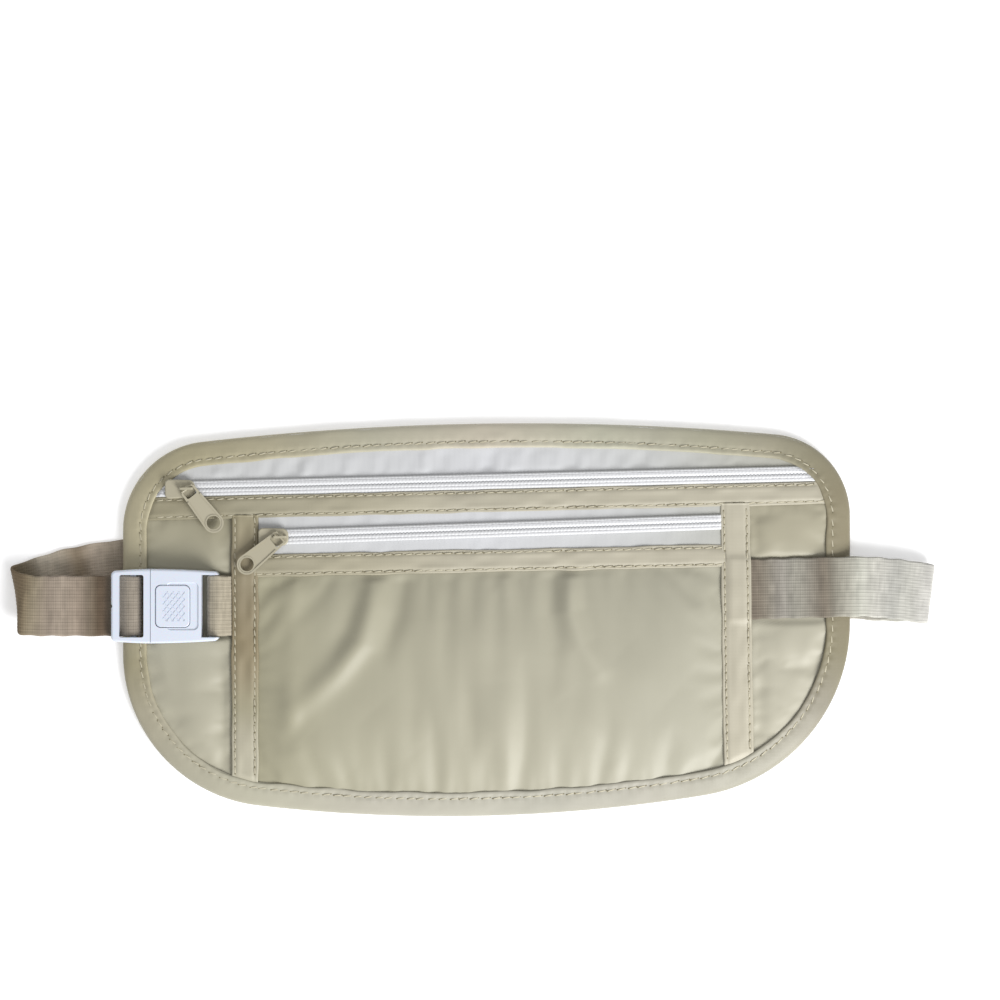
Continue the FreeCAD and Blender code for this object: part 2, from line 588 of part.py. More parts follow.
def main():
    upper = (UPPER_ZIP_Y0, UPPER_ZIP_SLOPE)
    lower = (LOWER_ZIP_Y0, LOWER_ZIP_SLOPE)
    nodes = {
        "back_panel": make_back_panel(),
        "main_panel": make_main_panel(),
        "front_pocket_panel": make_front_pocket_panel(),
        "edge_binding": make_edge_binding(),
        "upper_zip_band": make_upper_zip_band(),
        "lower_zip_band": make_lower_zip_band(),
        "left_cover_strip": strip(LEFT_STRIP_X, 0, LEFT_STRIP_W),
        "right_cover_strip": strip(RIGHT_STRIP_X, -RIGHT_STRIP_LEAN, RIGHT_STRIP_W),
        "upper_zip_tape_upper": make_upper_tape_upper(),
        "upper_zip_tape_lower": make_upper_tape_lower(),
        "lower_zip_tape_upper": make_lower_tape_upper(),
        "lower_zip_tape_lower": make_lower_tape_lower(),
        "upper_zip_coil_upper": coil(*upper, UPPER_COIL_X, 1),
        "upper_zip_coil_lower": coil(*upper, UPPER_COIL_X, -1),
        "lower_zip_coil_upper": coil(*lower, LOWER_COIL_X, 1),
        "lower_zip_coil_lower": coil(*lower, LOWER_COIL_X, -1),
        "upper_slider_body": placed_slider(UPPER_SLIDER_X, *upper),
        "upper_pull_tab": placed_pull(UPPER_SLIDER_X, *upper, UPPER_PULL_HEADING),
        "lower_slider_body": placed_slider(LOWER_SLIDER_X, *lower),
        "lower_pull_tab": placed_pull(LOWER_SLIDER_X, *lower, LOWER_PULL_HEADING),
        "buckle_female": make_buckle_female(),
        "buckle_male": make_buckle_male(),
        "release_tongue": make_release_tongue(),
        "waist_strap": make_waist_strap(),
        "anchor_webbing": make_anchor_webbing(),
    }
    os.makedirs("parts", exist_ok=True)
    for name, shape in nodes.items():
        shape.translate(V(BELT_SHIFT_X, 0, 0))
        shape.exportStep("parts/" + name + ".step")
        b = shape.BoundBox
        print("%-22s solids %d valid %s vol %.1f  x %.1f..%.1f  y %.1f..%.1f  z %.2f..%.2f" % (
            name, len(shape.Solids), shape.isValid(), shape.Volume,
            b.XMin, b.XMax, b.YMin, b.YMax, b.ZMin, b.ZMax))
    print("upper pull axis", pull_axis(UPPER_SLIDER_X, *upper), "lower", pull_axis(LOWER_SLIDER_X, *lower))


main()
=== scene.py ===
import math

import bpy
import numpy as np
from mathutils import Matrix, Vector


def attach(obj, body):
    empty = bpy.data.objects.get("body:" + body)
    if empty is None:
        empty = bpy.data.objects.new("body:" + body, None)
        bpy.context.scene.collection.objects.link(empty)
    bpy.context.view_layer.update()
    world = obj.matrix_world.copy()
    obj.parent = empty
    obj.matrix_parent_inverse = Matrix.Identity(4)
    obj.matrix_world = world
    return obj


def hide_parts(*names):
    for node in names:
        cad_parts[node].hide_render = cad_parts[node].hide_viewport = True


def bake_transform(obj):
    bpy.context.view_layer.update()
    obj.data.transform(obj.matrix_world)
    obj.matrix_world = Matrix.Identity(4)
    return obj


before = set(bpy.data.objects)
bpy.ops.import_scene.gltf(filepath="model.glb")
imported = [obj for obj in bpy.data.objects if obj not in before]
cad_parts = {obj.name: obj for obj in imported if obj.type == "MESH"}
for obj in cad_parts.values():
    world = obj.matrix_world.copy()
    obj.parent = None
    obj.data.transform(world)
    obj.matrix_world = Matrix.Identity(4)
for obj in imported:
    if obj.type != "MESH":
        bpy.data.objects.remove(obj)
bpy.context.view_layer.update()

# All drawing below is in millimetres about the centre of the pouch's outline; SHIFT moves it to the frame.
SHIFT = 5.35

# --- sizes ------------------------------------------------------------------------------------------
SIDE_X, EDGE_Y = 131.1, 70.9
TOP = (14.0, 1016.0)
BOTTOM = (-15.0, 582.0)
R_TL, R_TR, R_BL, R_BR = 32.0, 29.5, 55.0, 63.0
BIND_W = 8.8
UZ = (49.9, 1.4)       # upper zip: height at X = 0 and slope in degrees
LZ = (32.4, 1.96)
UB = (42.9, 1.4)       # bands
LB = (21.3, 1.23)
BAND_W = 8.2
LS_X, LS_W = -86.95, 9.7
RS_X, RS_W, RS_LEAN = 90.0, 10.8, 0.8
BUCKLE_Y = 5.15
STRAP_Y = 11.0  # middle of the strap where it is sewn in at the right
STRAP_W, STRAP_T = 21.6, 1.1
WEBBING_T = 0.7
CLOTH_T, TAPE_T = 0.3, 0.4
LAYER_Z = 5.35  # top of the flat layers that the tapes, bands, strips and binding lie on
PINCH = 0.9  # share of rim_drop that those layers lose at the rim
BACK_Z = 1.35  # underside of the binding's back leg
RIM_STITCH_IN = 6.6  # the binding's row of stitches, in from the edge
BAND_STITCH = 3.0  # a band's rows of stitches, either side of its middle
CLOTH_X = 130.2  # how far out the cloth of the panels reaches
CLOTH_FRAMES = 22
THREAD_R = 0.24
TURN_POINTS = 24


def tan(d):
    return math.tan(math.radians(d))


def line_y(line, x):
    return line[0] + x * tan(line[1])


def smooth(a, b, x):
    t = np.clip((x - a) / (b - a), 0, 1)
    return t * t * (3 - 2 * t)


# --- smooth noise -----------------------------------------------------------------------------------
class Noise:
    """Value noise on a lattice, smooth and repeatable, with its own cell size along X and Y."""

    def __init__(self, sx, sy, seed):
        self.sx, self.sy = sx, sy
        self.t = np.random.default_rng(seed).uniform(-1, 1, (256, 256))

    def __call__(self, x, y):
        u, v = np.asarray(x) / self.sx + 500.0, np.asarray(y) / self.sy + 500.0
        i, j = np.floor(u).astype(int), np.floor(v).astype(int)
        f, g = u - i, v - j
        f, g = f * f * f * (f * (f * 6 - 15) + 10), g * g * g * (g * (g * 6 - 15) + 10)
        t = lambda a, b: self.t[a % 256, b % 256]
        return ((t(i, j) * (1 - f) + t(i + 1, j) * f) * (1 - g)
                + (t(i, j + 1) * (1 - f) + t(i + 1, j + 1) * f) * g)


# --- outline ----------------------------------------------------------------------------------------
def corner(side, big, up, r):
    cx0, big_r = big
    cy0 = EDGE_Y - big_r if up > 0 else big_r - EDGE_Y
    cx = side * (SIDE_X - r)
    cy = cy0 + up * math.sqrt((big_r - r) ** 2 - (cx - cx0) ** 2)
    a = math.degrees(math.atan2(cy - cy0, cx - cx0))
    return (cx, cy), a % 360


def outline(inset=0.0, step=0.8):
    """Closed, anticlockwise points on the pouch's rim and their inward normals, spaced by about step."""
    tr, a_tr = corner(1, TOP, 1, R_TR)
    tl, a_tl = corner(-1, TOP, 1, R_TL)
    bl, a_bl = corner(-1, BOTTOM, -1, R_BL)
    br, a_br = corner(1, BOTTOM, -1, R_BR)
    top_c, low_c = (TOP[0], EDGE_Y - TOP[1]), (BOTTOM[0], BOTTOM[1] - EDGE_Y)
    arcs = [(tr, R_TR, 0.0, a_tr), (top_c, TOP[1], a_tr, a_tl), (tl, R_TL, a_tl, 180.0),
            (bl, R_BL, 180.0, a_bl), (low_c, BOTTOM[1], a_bl, a_br), (br, R_BR, a_br, 360.0)]
    pts, nor = [], []
    for i, (c, r, a0, a1) in enumerate(arcs):
        n = max(2, int(round(abs(math.radians(a1 - a0)) * r / step)))
        a = np.radians(np.linspace(a0, a1, n, endpoint=False))
        d = np.stack([np.cos(a), np.sin(a)], 1)
        pts.append(np.array(c) + d * (r - inset))
        nor.append(-d)
        if i in (2, 5):     # straight side that follows this corner
            end, nxt = (tl[1], bl[1]) if i == 2 else (br[1], tr[1])
            side = -1 if i == 2 else 1
            m = max(2, int(round(abs(nxt - end) / step)))
            y = np.linspace(end, nxt, m, endpoint=False)
            pts.append(np.stack([np.full(m, side * (SIDE_X - inset)), y], 1))
            nor.append(np.tile([-float(side), 0.0], (m, 1)))
    return np.concatenate(pts), np.concatenate(nor)


_rim = outline(0.7, 0.5)[0]


def rim_y(x, top):
    """Height of the outline, 0.7 mm in from the edge, above or below at x."""
    p = _rim[_rim[:, 1] > 5] if top else _rim[_rim[:, 1] < 5]
    p = p[np.argsort(p[:, 0])]
    return np.interp(x, p[:, 0], p[:, 1])


_edge = outline(0.0, 2.0)[0]


def rim_distance(x, y):
    """How far inside the rim each point is, in mm."""
    x, y = np.asarray(x), np.asarray(y)
    flat = np.stack([x.ravel(), y.ravel()], 1)
    out = np.empty(len(flat))
    for k in range(0, len(flat), 20000):
        d = flat[k:k + 20000, None, :] - _edge[None]
        out[k:k + 20000] = np.sqrt((d ** 2).sum(-1).min(1))
    return out.reshape(x.shape)


# --- meshes -----------------------------------------------------------------------------------------
def to_m(p):
    q = np.array(p, float).reshape(-1, 3) * 0.001
    q[:, 0] += SHIFT * 0.001
    return q


def make(name, verts_mm, faces, material, body="pouch"):
    me = bpy.data.meshes.new(name)
    me.from_pydata(to_m(verts_mm).tolist(), [], faces if isinstance(faces, list) else faces.tolist())
    me.materials.append(material)
    me.polygons.foreach_set("use_smooth", np.ones(len(me.polygons), bool))
    me.update()
    o = bpy.data.objects.new(name, me)
    bpy.context.scene.collection.objects.link(o)
    if body:
        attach(o, body)
    return o


def set_tone(o, rgb):
    """Multiplies the cloth's colour at each point of the mesh."""
    colour = np.ones((len(o.data.vertices), 4))
    colour[:, :3] = np.clip(rgb, 0.1, 2.2).reshape(len(colour), -1)
    o.data.attributes.new("shade", "FLOAT_COLOR", "POINT").data.foreach_set("color", colour.ravel())


def by_table(x, table):
    """A tone read from rows of (place, red, green, blue) at each x."""
    t = np.array(table, float)
    return np.stack([np.interp(x, t[:, 0], t[:, k]) for k in (1, 2, 3)], -1)


def quads(nu, nv, close_u=False, close_v=False, start=0, flip=False):
    i = np.arange(nu if close_u else nu - 1)
    j = np.arange(nv if close_v else nv - 1)
    i, j = np.meshgrid(i, j, indexing="ij")
    a, b = i * nv + j, ((i + 1) % nu) * nv + j
    c, d = ((i + 1) % nu) * nv + (j + 1) % nv, i * nv + (j + 1) % nv
    f = np.stack([a, b, c, d], -1).reshape(-1, 4) + start
    return f[:, ::-1] if flip else f


def slab(name, top, low, material, tone):
    """A closed sheet from a grid of top points and the matching grid of under points, both (nu, nv, 3)."""
    nu, nv = top.shape[:2]
    n = nu * nv
    verts = np.concatenate([top.reshape(-1, 3), low.reshape(-1, 3)])
    faces = [quads(nu, nv), quads(nu, nv, start=n, flip=True)]
    ring = np.concatenate([np.arange(nv), np.arange(1, nu) * nv + nv - 1,
                           (nu - 1) * nv + np.arange(nv - 2, -1, -1), np.arange(nu - 2, 0, -1) * nv])
    nxt = np.roll(ring, -1)
    faces.append(np.stack([nxt, ring, ring + n, nxt + n], 1))
    o = make(name, verts, np.concatenate(faces), material)
    rgb = tone.reshape(-1, 3)
    set_tone(o, np.concatenate([rgb, rgb]))
    return o


def tube(name, rings, material, body="pouch", close=False):
    """A closed skin through rings of points, (nu, nv, 3)."""
    nu, nv = rings.shape[:2]
    faces = quads(nu, nv, close_u=close, close_v=True).tolist()
    if not close:
        faces.append(list(range(nv - 1, -1, -1)))
        faces.append([(nu - 1) * nv + k for k in range(nv)])
    return make(name, rings.reshape(-1, 3), faces, material, body)


def copies(name, unit_v, unit_f, frames, material):
    """One mesh of many copies of a small shape; frames is a list of (origin, 3x3 of column axes)."""
    o = np.array([f[0] for f in frames])
    m = np.array([f[1] for f in frames])
    v = np.einsum("kij,nj->kni", m, unit_v) + o[:, None, :]
    n = len(unit_v)
    f = (np.asarray(unit_f)[None] + (np.arange(len(frames)) * n)[:, None, None]).reshape(-1, 4)
    return make(name, v.reshape(-1, 3), f, material)


def capsule(length, ry, rz, seg, rows):
    """A rounded bar along X as quads: closed by tiny end rings."""
    t = np.linspace(-1, 1, rows)
    x = np.sin(t * math.pi / 2) * length / 2
    w = np.maximum(1 - np.abs(x / (length / 2)) ** 4.0, 0.004) ** 0.5
    a = np.linspace(0, 2 * math.pi, seg, endpoint=False)
    v = np.stack([np.repeat(x, seg), np.outer(w, np.cos(a)).ravel() * ry,
                  np.outer(w, np.sin(a)).ravel() * rz], 1)
    f = quads(rows, seg, close_v=True)
    ends = []
    for base, order in ((0, 1), ((rows - 1) * seg, -1)):
        k = [base + i for i in range(seg)][::order]
        for i in range(1, seg - 2, 2):
            ends.append([k[0], k[i + 2], k[i + 1], k[i]])
    return v, np.concatenate([f, np.array(ends)])


# --- cloth simulation -------------------------------------------------------------------------------
def inflate(name, X, Y, Z, held, grow, pressure, cap):
    """Blow up a sheet held along its seams and return its points. It is simulated at ten times life size, and
    no point moves further than cap."""
    start = np.stack([X, Y, Z], -1)
    me = bpy.data.meshes.new(name)
    me.from_pydata((start.reshape(-1, 3) * 0.01).tolist(), [], quads(*X.shape).tolist())
    o = bpy.data.objects.new(name, me)
    bpy.context.scene.collection.objects.link(o)
    group = o.vertex_groups.new(name="seams")
    group.add([int(i) for i in np.nonzero(held.ravel())[0]], 1.0, "REPLACE")
    mod = o.modifiers.new("cloth", "CLOTH")
    st = mod.settings
    st.quality = 6
    st.mass = 0.15
    st.tension_stiffness = st.compression_stiffness = 12
    st.shear_stiffness = 4
    st.bending_stiffness = 1.2
    st.use_pressure = True
    st.uniform_pressure_force = pressure
    st.vertex_group_mass = "seams"
    st.shrink_min = st.shrink_max = -grow
    st.effector_weights.gravity = 0
    mod.collision_settings.use_collision = False
    mod.point_cache.frame_start, mod.point_cache.frame_end = 1, CLOTH_FRAMES
    for f in range(1, CLOTH_FRAMES + 1):
        bpy.context.scene.frame_set(f)
    done = o.evaluated_get(bpy.context.evaluated_depsgraph_get())
    co = np.empty(len(me.vertices) * 3)
    done.data.vertices.foreach_get("co", co)
    bpy.data.objects.remove(o)
    bpy.context.scene.frame_set(1)
    move = co.reshape(start.shape) * 100 - start
    size = np.linalg.norm(move, axis=-1, keepdims=True)
    move *= cap * np.tanh(size / cap) / np.maximum(size, 1e-6)
    return start + move


def finer(g):
    """The same grid of points with twice as many each way, on a smooth surface."""
    for axis in (0, 1):
        g = np.swapaxes(g, 0, axis)
        out = np.empty((2 * len(g) - 1,) + g.shape[1:])
        out[::2] = g
        out[1::2] = (g[:-1] + g[1:]) / 2
        out[2:-2:2] = (g[:-2] + 6 * g[1:-1] + g[2:]) / 8
        g = np.swapaxes(out, 0, axis)
    return g


def soft_min(z, ceiling, k=0.35):
    return -k * np.logaddexp(-z / k, -ceiling / k)


def fold(X, Y, points, width, height):
    """A soft fold along a plan line, in mm of height: full in the middle, fading to its ends."""
    p = np.array(points, float)
    best, where = np.full(X.shape, 1e9), np.zeros(X.shape)
    seg = np.sqrt((np.diff(p, axis=0) ** 2).sum(1))
    run = np.concatenate([[0], np.cumsum(seg)])
    for i in range(len(p) - 1):
        d = (p[i + 1] - p[i]) / seg[i]
        t = np.clip((X - p[i, 0]) * d[0] + (Y - p[i, 1]) * d[1], 0, seg[i])
        r = np.hypot(X - p[i, 0] - t * d[0], Y - p[i, 1] - t * d[1])
        near = r < best
        best, where = np.where(near, r, best), np.where(near, (run[i] + t) / run[-1], where)
    fade = np.clip(np.sin(math.pi * (0.12 + 0.76 * where)), 0, 1)
    return height * fade * np.exp(-(best / width) ** 2)


# --- materials --------------------------------------------------------------------------------------
def srgb(r, g, b):
    linear = lambda c: c / 255 / 12.92 if c <= 10 else ((c / 255 + 0.055) / 1.055) ** 2.4
    return tuple(linear(c) for c in (r, g, b)) + (1.0,)


def material(name, color, rough, spec, sheen=0.0, bump=None, vary=0.0, coat=0.0, subsurface=0.0, shade=False):
    """bump is (scale, strength, "X" for ribs or "XY" for a weave); shade multiplies in the painted light and
    shade kept on the mesh.
    """
    m = bpy.data.materials.new(name)
    m.use_nodes = True
    nt = m.node_tree
    b = nt.nodes["Principled BSDF"]
    b.inputs["Base Color"].default_value = color
    b.inputs["Roughness"].default_value = rough
    b.inputs["Specular IOR Level"].default_value = spec
    b.inputs["Sheen Weight"].default_value = sheen
    b.inputs["Sheen Roughness"].default_value = 0.4
    b.inputs["Coat Weight"].default_value = coat
    if subsurface:
        b.inputs["Subsurface Weight"].default_value = subsurface
        b.inputs["Subsurface Scale"].default_value = 0.002
    co = nt.nodes.new("ShaderNodeTexCoord")
    if vary:
        no = nt.nodes.new("ShaderNodeTexNoise")
        no.inputs["Scale"].default_value = 60.0
        no.inputs["Detail"].default_value = 6.0
        no.inputs["Roughness"].default_value = 0.62
        nt.links.new(co.outputs["Object"], no.inputs["Vector"])
        mix = nt.nodes.new("ShaderNodeMix")
        mix.data_type = "RGBA"
        dark = tuple(c * (1 - vary) for c in color[:3]) + (1.0,)
        light = tuple(min(1.0, c * (1 + vary)) for c in color[:3]) + (1.0,)
        mix.inputs["A"].default_value = dark
        mix.inputs["B"].default_value = light
        nt.links.new(no.outputs["Fac"], mix.inputs["Factor"])
        nt.links.new(mix.outputs["Result"], b.inputs["Base Color"])
    if shade:
        # painted light and shade worked out with the mesh: between ribs, where elastic bunches, along the
        # binding and across the panels
        at = nt.nodes.new("ShaderNodeAttribute")
        at.attribute_name = "shade"
        mul = nt.nodes.new("ShaderNodeVectorMath")
        mul.operation = "MULTIPLY"
        was = b.inputs["Base Color"].links[0].from_socket
        nt.links.new(was, mul.inputs[0])
        nt.links.new(at.outputs["Color"], mul.inputs[1])
        nt.links.new(mul.outputs["Vector"], b.inputs["Base Color"])
    if bump:
        scale, strength, kind = bump
        h = None
        for axis in ("X", "Y"):
            w = nt.nodes.new("ShaderNodeTexWave")
            w.bands_direction = axis
            w.inputs["Scale"].default_value = scale
            w.inputs["Distortion"].default_value = 0.4
            w.inputs["Detail"].default_value = 1.0
            nt.links.new(co.outputs["Object"], w.inputs["Vector"])
            if kind == axis:
                h = w.outputs["Fac"]
                break
            if h is None:
                h = w.outputs["Fac"]
            elif kind == "XY":
                mul = nt.nodes.new("ShaderNodeMath")
                mul.operation = "ADD"
                nt.links.new(h, mul.inputs[0])
                nt.links.new(w.outputs["Fac"], mul.inputs[1])
                h = mul.outputs[0]
        bp = nt.nodes.new("ShaderNodeBump")
        bp.inputs["Strength"].default_value = strength
        bp.inputs["Distance"].default_value = 0.0001
        nt.links.new(h, bp.inputs["Height"])
        nt.links.new(bp.outputs["Normal"], b.inputs["Normal"])
    return m


LIT = 1.25          # how much brighter than its own colour a level white surface is lit


def seen(r, g, b, lit=LIT):
    """Base colour of cloth that looks like this sRGB colour in the light of the scene."""
    return tuple(c / lit for c in srgb(r, g, b)[:3]) + (1.0,)


NYLON = material("nylon_cloth", seen(182, 178, 158), rough=0.46, sheen=0.1, spec=0.42,
                 bump=(800, 0.06, "XY"), vary=0.04, shade=True)
BINDING = material("binding_cloth", seen(190, 184, 165), rough=0.5, sheen=0.15, spec=0.4,
                   bump=(620, 0.12, "XY"), vary=0.10, shade=True)
TAPE = material("zip_tape", seen(214, 215, 217), rough=0.75, sheen=0.2, spec=0.25,
                bump=(700, 0.25, "X"), vary=0.02, shade=True)
COIL = material("zip_coil", seen(238, 239, 241), rough=0.45, spec=0.4, vary=0.02)
THREAD = material("thread", seen(205, 198, 174), rough=0.6, sheen=0.2, spec=0.3)
# painted shade: a dark mark that stands for the shade in a needle hole
HOLE_SHADE = material("needle_hole_shade", seen(146, 138, 113), rough=0.8, spec=0.1)
WHITE_THREAD = material("white_thread", seen(214, 214, 217), rough=0.7, sheen=0.2, spec=0.2)
ELASTIC = material("elastic_webbing", seen(166, 156, 142), rough=0.8, sheen=0.2, spec=0.2,
                   bump=(500, 0.6, "XY"), vary=0.05, shade=True)
WEBBING = material("flat_webbing", seen(176, 167, 148), rough=0.8, sheen=0.2, spec=0.2,
                   bump=(500, 0.6, "XY"), vary=0.05, shade=True)
PAINTED = material("painted_slider", seen(190, 183, 160), rough=0.42, spec=0.4, coat=0.1)
PLASTIC = material("buckle_plastic", seen(224, 231, 245, 1.12), rough=0.28, spec=0.5, subsurface=0.05)

for node, m in (("upper_slider_body", PAINTED), ("upper_pull_tab", PAINTED), ("lower_slider_body", PAINTED),
                ("lower_pull_tab", PAINTED), ("buckle_female", PLASTIC), ("buckle_male", PLASTIC),
                ("release_tongue", PLASTIC)):
    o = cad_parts[node]
    o.data.materials.clear()
    o.data.materials.append(m)


# --- heights of the cloth ---------------------------------------------------------------------------
n_big = Noise(38, 30, 1)
n_mid = Noise(17, 22, 2)
n_vert = Noise(6.5, 40, 3)
n_fine = Noise(5, 5, 4)
n_side = Noise(14, 20, 5)
n_fold = Noise(9, 26, 6)


def strip_x(y):
    """Centre line of the right cover strip at height y."""
    return RS_X - y * tan(RS_LEAN)


def rim_drop(d):
    """Cloth is pinched thin at the rim: height lost against the flat layers, d mm in from the edge."""
    return 2.0 * (1 - smooth(0.0, 9.0, d))


LEFT_FOLDS = [
    ([(-96, -12), (-94.5, -30), (-95, -50)], 3.2, -0.9),
    ([(-108, -14), (-106, -30), (-101, -46)], 6.0, 1.1),
    ([(-118, -10), (-114, -24)], 3.5, 0.5),
    ([(-100, 34), (-97, 22)], 3.0, 0.5),
    ([(-112, 34), (-108, 21)], 4.0, -0.4),
]
RIGHT_FOLDS = [
    ([(99, 38), (103, 28), (100, 22)], 3.5, 0.7),
    ([(96, 36), (97, 24)], 2.2, -0.6),
    ([(113, 36), (112, 24)], 5.0, 0.4),
    ([(97, -4), (99, -20), (98, -44)], 3.0, -0.6),
    ([(106, -3), (109, -14)], 4.0, 0.8),
    ([(118, -4), (113, -22)], 5.0, 0.5),
]


def side_patch(side):
    """Simulated height of the main panel beside one strip, as a grid to read heights from."""
    x = np.linspace(84, 130, 30) * side
    x.sort()
    y = np.linspace(-66, 46, 68)
    X, Y = np.meshgrid(x, y, indexing="ij")
    strip = np.where(side < 0, LS_X - 5.2, strip_x(Y) + 5.2)
    past = (X - strip) * side
    Z = np.full(X.shape, 4.75)
    Z += 0.12 * n_side(X, Y)
    held = (rim_distance(X, Y) < 8.2) | (past < 0) | (Y > line_y(UB, X) - 3.4) | (np.abs(X) > 129)
    held |= (np.abs(X) < 85) | (Y < -65)
    P = inflate("side_patch", X, Y, Z, held, 0.012, 0.5, cap=1.1)
    return x, y, P[..., 2]


def read_patch(patch, X, Y):
    x, y, z = patch
    u = np.clip((X - x[0]) / (x[-1] - x[0]) * (len(x) - 1), 0, len(x) - 1.001)
    v = np.clip((Y - y[0]) / (y[-1] - y[0]) * (len(y) - 1), 0, len(y) - 1.001)
    i, j = u.astype(int), v.astype(int)
    f, g = u - i, v - j
    return ((z[i, j] * (1 - f) + z[i + 1, j] * f) * (1 - g)
            + (z[i, j + 1] * (1 - f) + z[i + 1, j + 1] * f) * g)


PATCHES = {}


def side_height(X, Y):
    """Top of the main panel beside the strips."""
    if not PATCHES:
        PATCHES[-1], PATCHES[1] = side_patch(-1), side_patch(1)
    d = rim_distance(X, Y)
    z = np.where(X < 0, read_patch(PATCHES[-1], X, Y), read_patch(PATCHES[1], X, Y))
    clear = smooth(8, 16, d) * smooth(5.0, 8.0, np.minimum(np.abs(X - LS_X), np.abs(X - strip_x(Y))))
    clear *= smooth(3.6, 8.0, line_y(UB, X) - Y)
    for points, width, height in LEFT_FOLDS + RIGHT_FOLDS:
        z = z + clear * fold(X, Y, points, width, height)
    z = z + 0.10 * clear * n_fold(X, Y)
    # the buckle, its webbing and the strap hold the cloth down
    buckle = smooth(13.5, 9.0, np.abs(Y - BUCKLE_Y)) * smooth(-94, -97, X)
    web = smooth(13.5, 10.9, np.abs(Y - BUCKLE_Y)) * smooth(-84, -86, X) * smooth(-101, -98, X)
    strap = smooth(14.5, 10.8, np.abs(Y - STRAP_Y)) * smooth(84, 87, X)
    ceiling = 7.0 - 1.4 * buckle
    ceiling = np.minimum(ceiling, 7.0 - 3.2 * web)
    ceiling = np.minimum(ceiling, 7.0 - 2.2 * strap)
    z = soft_min(z, ceiling)
    return z - 0.75 * rim_drop(d)


# --- panels -----------------------------------------------------------------------------------------
def columns(x, low, high, rows):
    v = np.linspace(0, 1, rows)
    X = np.repeat(x[:, None], rows, 1)
    Y = low[:, None] + (high - low)[:, None] * v[None]
    return X, Y


def cloth(name, top, across, along=((0, 1, 1, 1),)):
    """A nylon panel with painted light and shade that change slowly along X and along Y."""
    tone = by_table(top[..., 0], across) * by_table(top[..., 1], along)
    return slab(name, top, top - [0, 0, CLOTH_T], NYLON, tone)


def build_back():
    x = CLOTH_X * np.sin(np.linspace(-math.pi / 2, math.pi / 2, 170))
    X, Y = columns(x, rim_y(x, False), rim_y(x, True), 96)
    d = rim_distance(X, Y)
    z = 2.35 + 0.15 * n_mid(X, Y) * smooth(6, 20, d) - 0.15 * (1 - smooth(0, 9, d))
    return cloth("back_panel_cloth", np.stack([X, Y, z], -1), [(0, 1, 1, 1)])


def build_main():
    x = CLOTH_X * np.sin(np.linspace(-math.pi / 2, math.pi / 2, 260))
    X, Y = columns(x, rim_y(x, False), np.minimum(line_y(UB, x), rim_y(x, True)), 120)
    z = side_height(X, Y)
    inside = smooth(LS_X - 1, LS_X + 4, X) * (1 - smooth(-4, 1, X - strip_x(Y)))
    z = z * (1 - inside) + (3.7 - 0.5 * rim_drop(rim_distance(X, Y))) * inside
    # painted light and shade: lighter towards the right and the bottom, darker towards the top
    return cloth("main_panel_cloth", np.stack([X, Y, z], -1), [(-110, 1, 1, 1), (110, 1.03, 1.03, 1.06)],
                 [(-45, 1.06, 1.06, 1.06), (-15, 1, 1, 1), (8, 0.98, 0.98, 0.97), (30, 0.90, 0.88, 0.82)])


POCKET_FOLDS = [
    ([(-39, 27), (-41, 6), (-45, -8), (-54, -19), (-68, -32)], 4.4, 2.7),
    ([(-50, 8), (-50, -2), (-58, -12)], 4.5, -0.5),
    ([(30, 28), (30, 3), (34, -9), (40, -18)], 4.0, 2.6),
    ([(23, 27), (22, 2), (25, -8)], 3.6, -0.9),
    ([(-29, 28), (-31, 3), (-36, -10)], 4.0, -1.2),
    ([(-13, 26), (-14, 4)], 3.2, -0.7),
    ([(-66, 24), (-70, 6)], 4.0, 0.9),
    ([(6, 24), (8, 8)], 3.0, 0.7),
    ([(-72, -2), (-75, -12)], 3.0, -0.7),
    ([(-70, -18), (-71, -32), (-69, -46)], 4.2, 1.5),
    ([(-66, -36), (-72, -46)], 3.2, -0.7),
    ([(-64, -42), (-50, -56)], 6.0, 1.0),
    ([(5, -22), (6, -40), (9, -58)], 6.5, 1.6),
    ([(-6, -26), (-5, -46)], 4.0, -0.6),
    ([(28, -28), (46, -50)], 5.5, 1.0),
    ([(70, 14), (76, 4)], 2.6, -0.5),
    ([(-14, -4), (14, -12)], 10.0, 0.9),
    ([(48, -12), (66, -28)], 10.0, 0.7),
    ([(-40, -32), (-26, -48)], 9.0, 0.9),
]


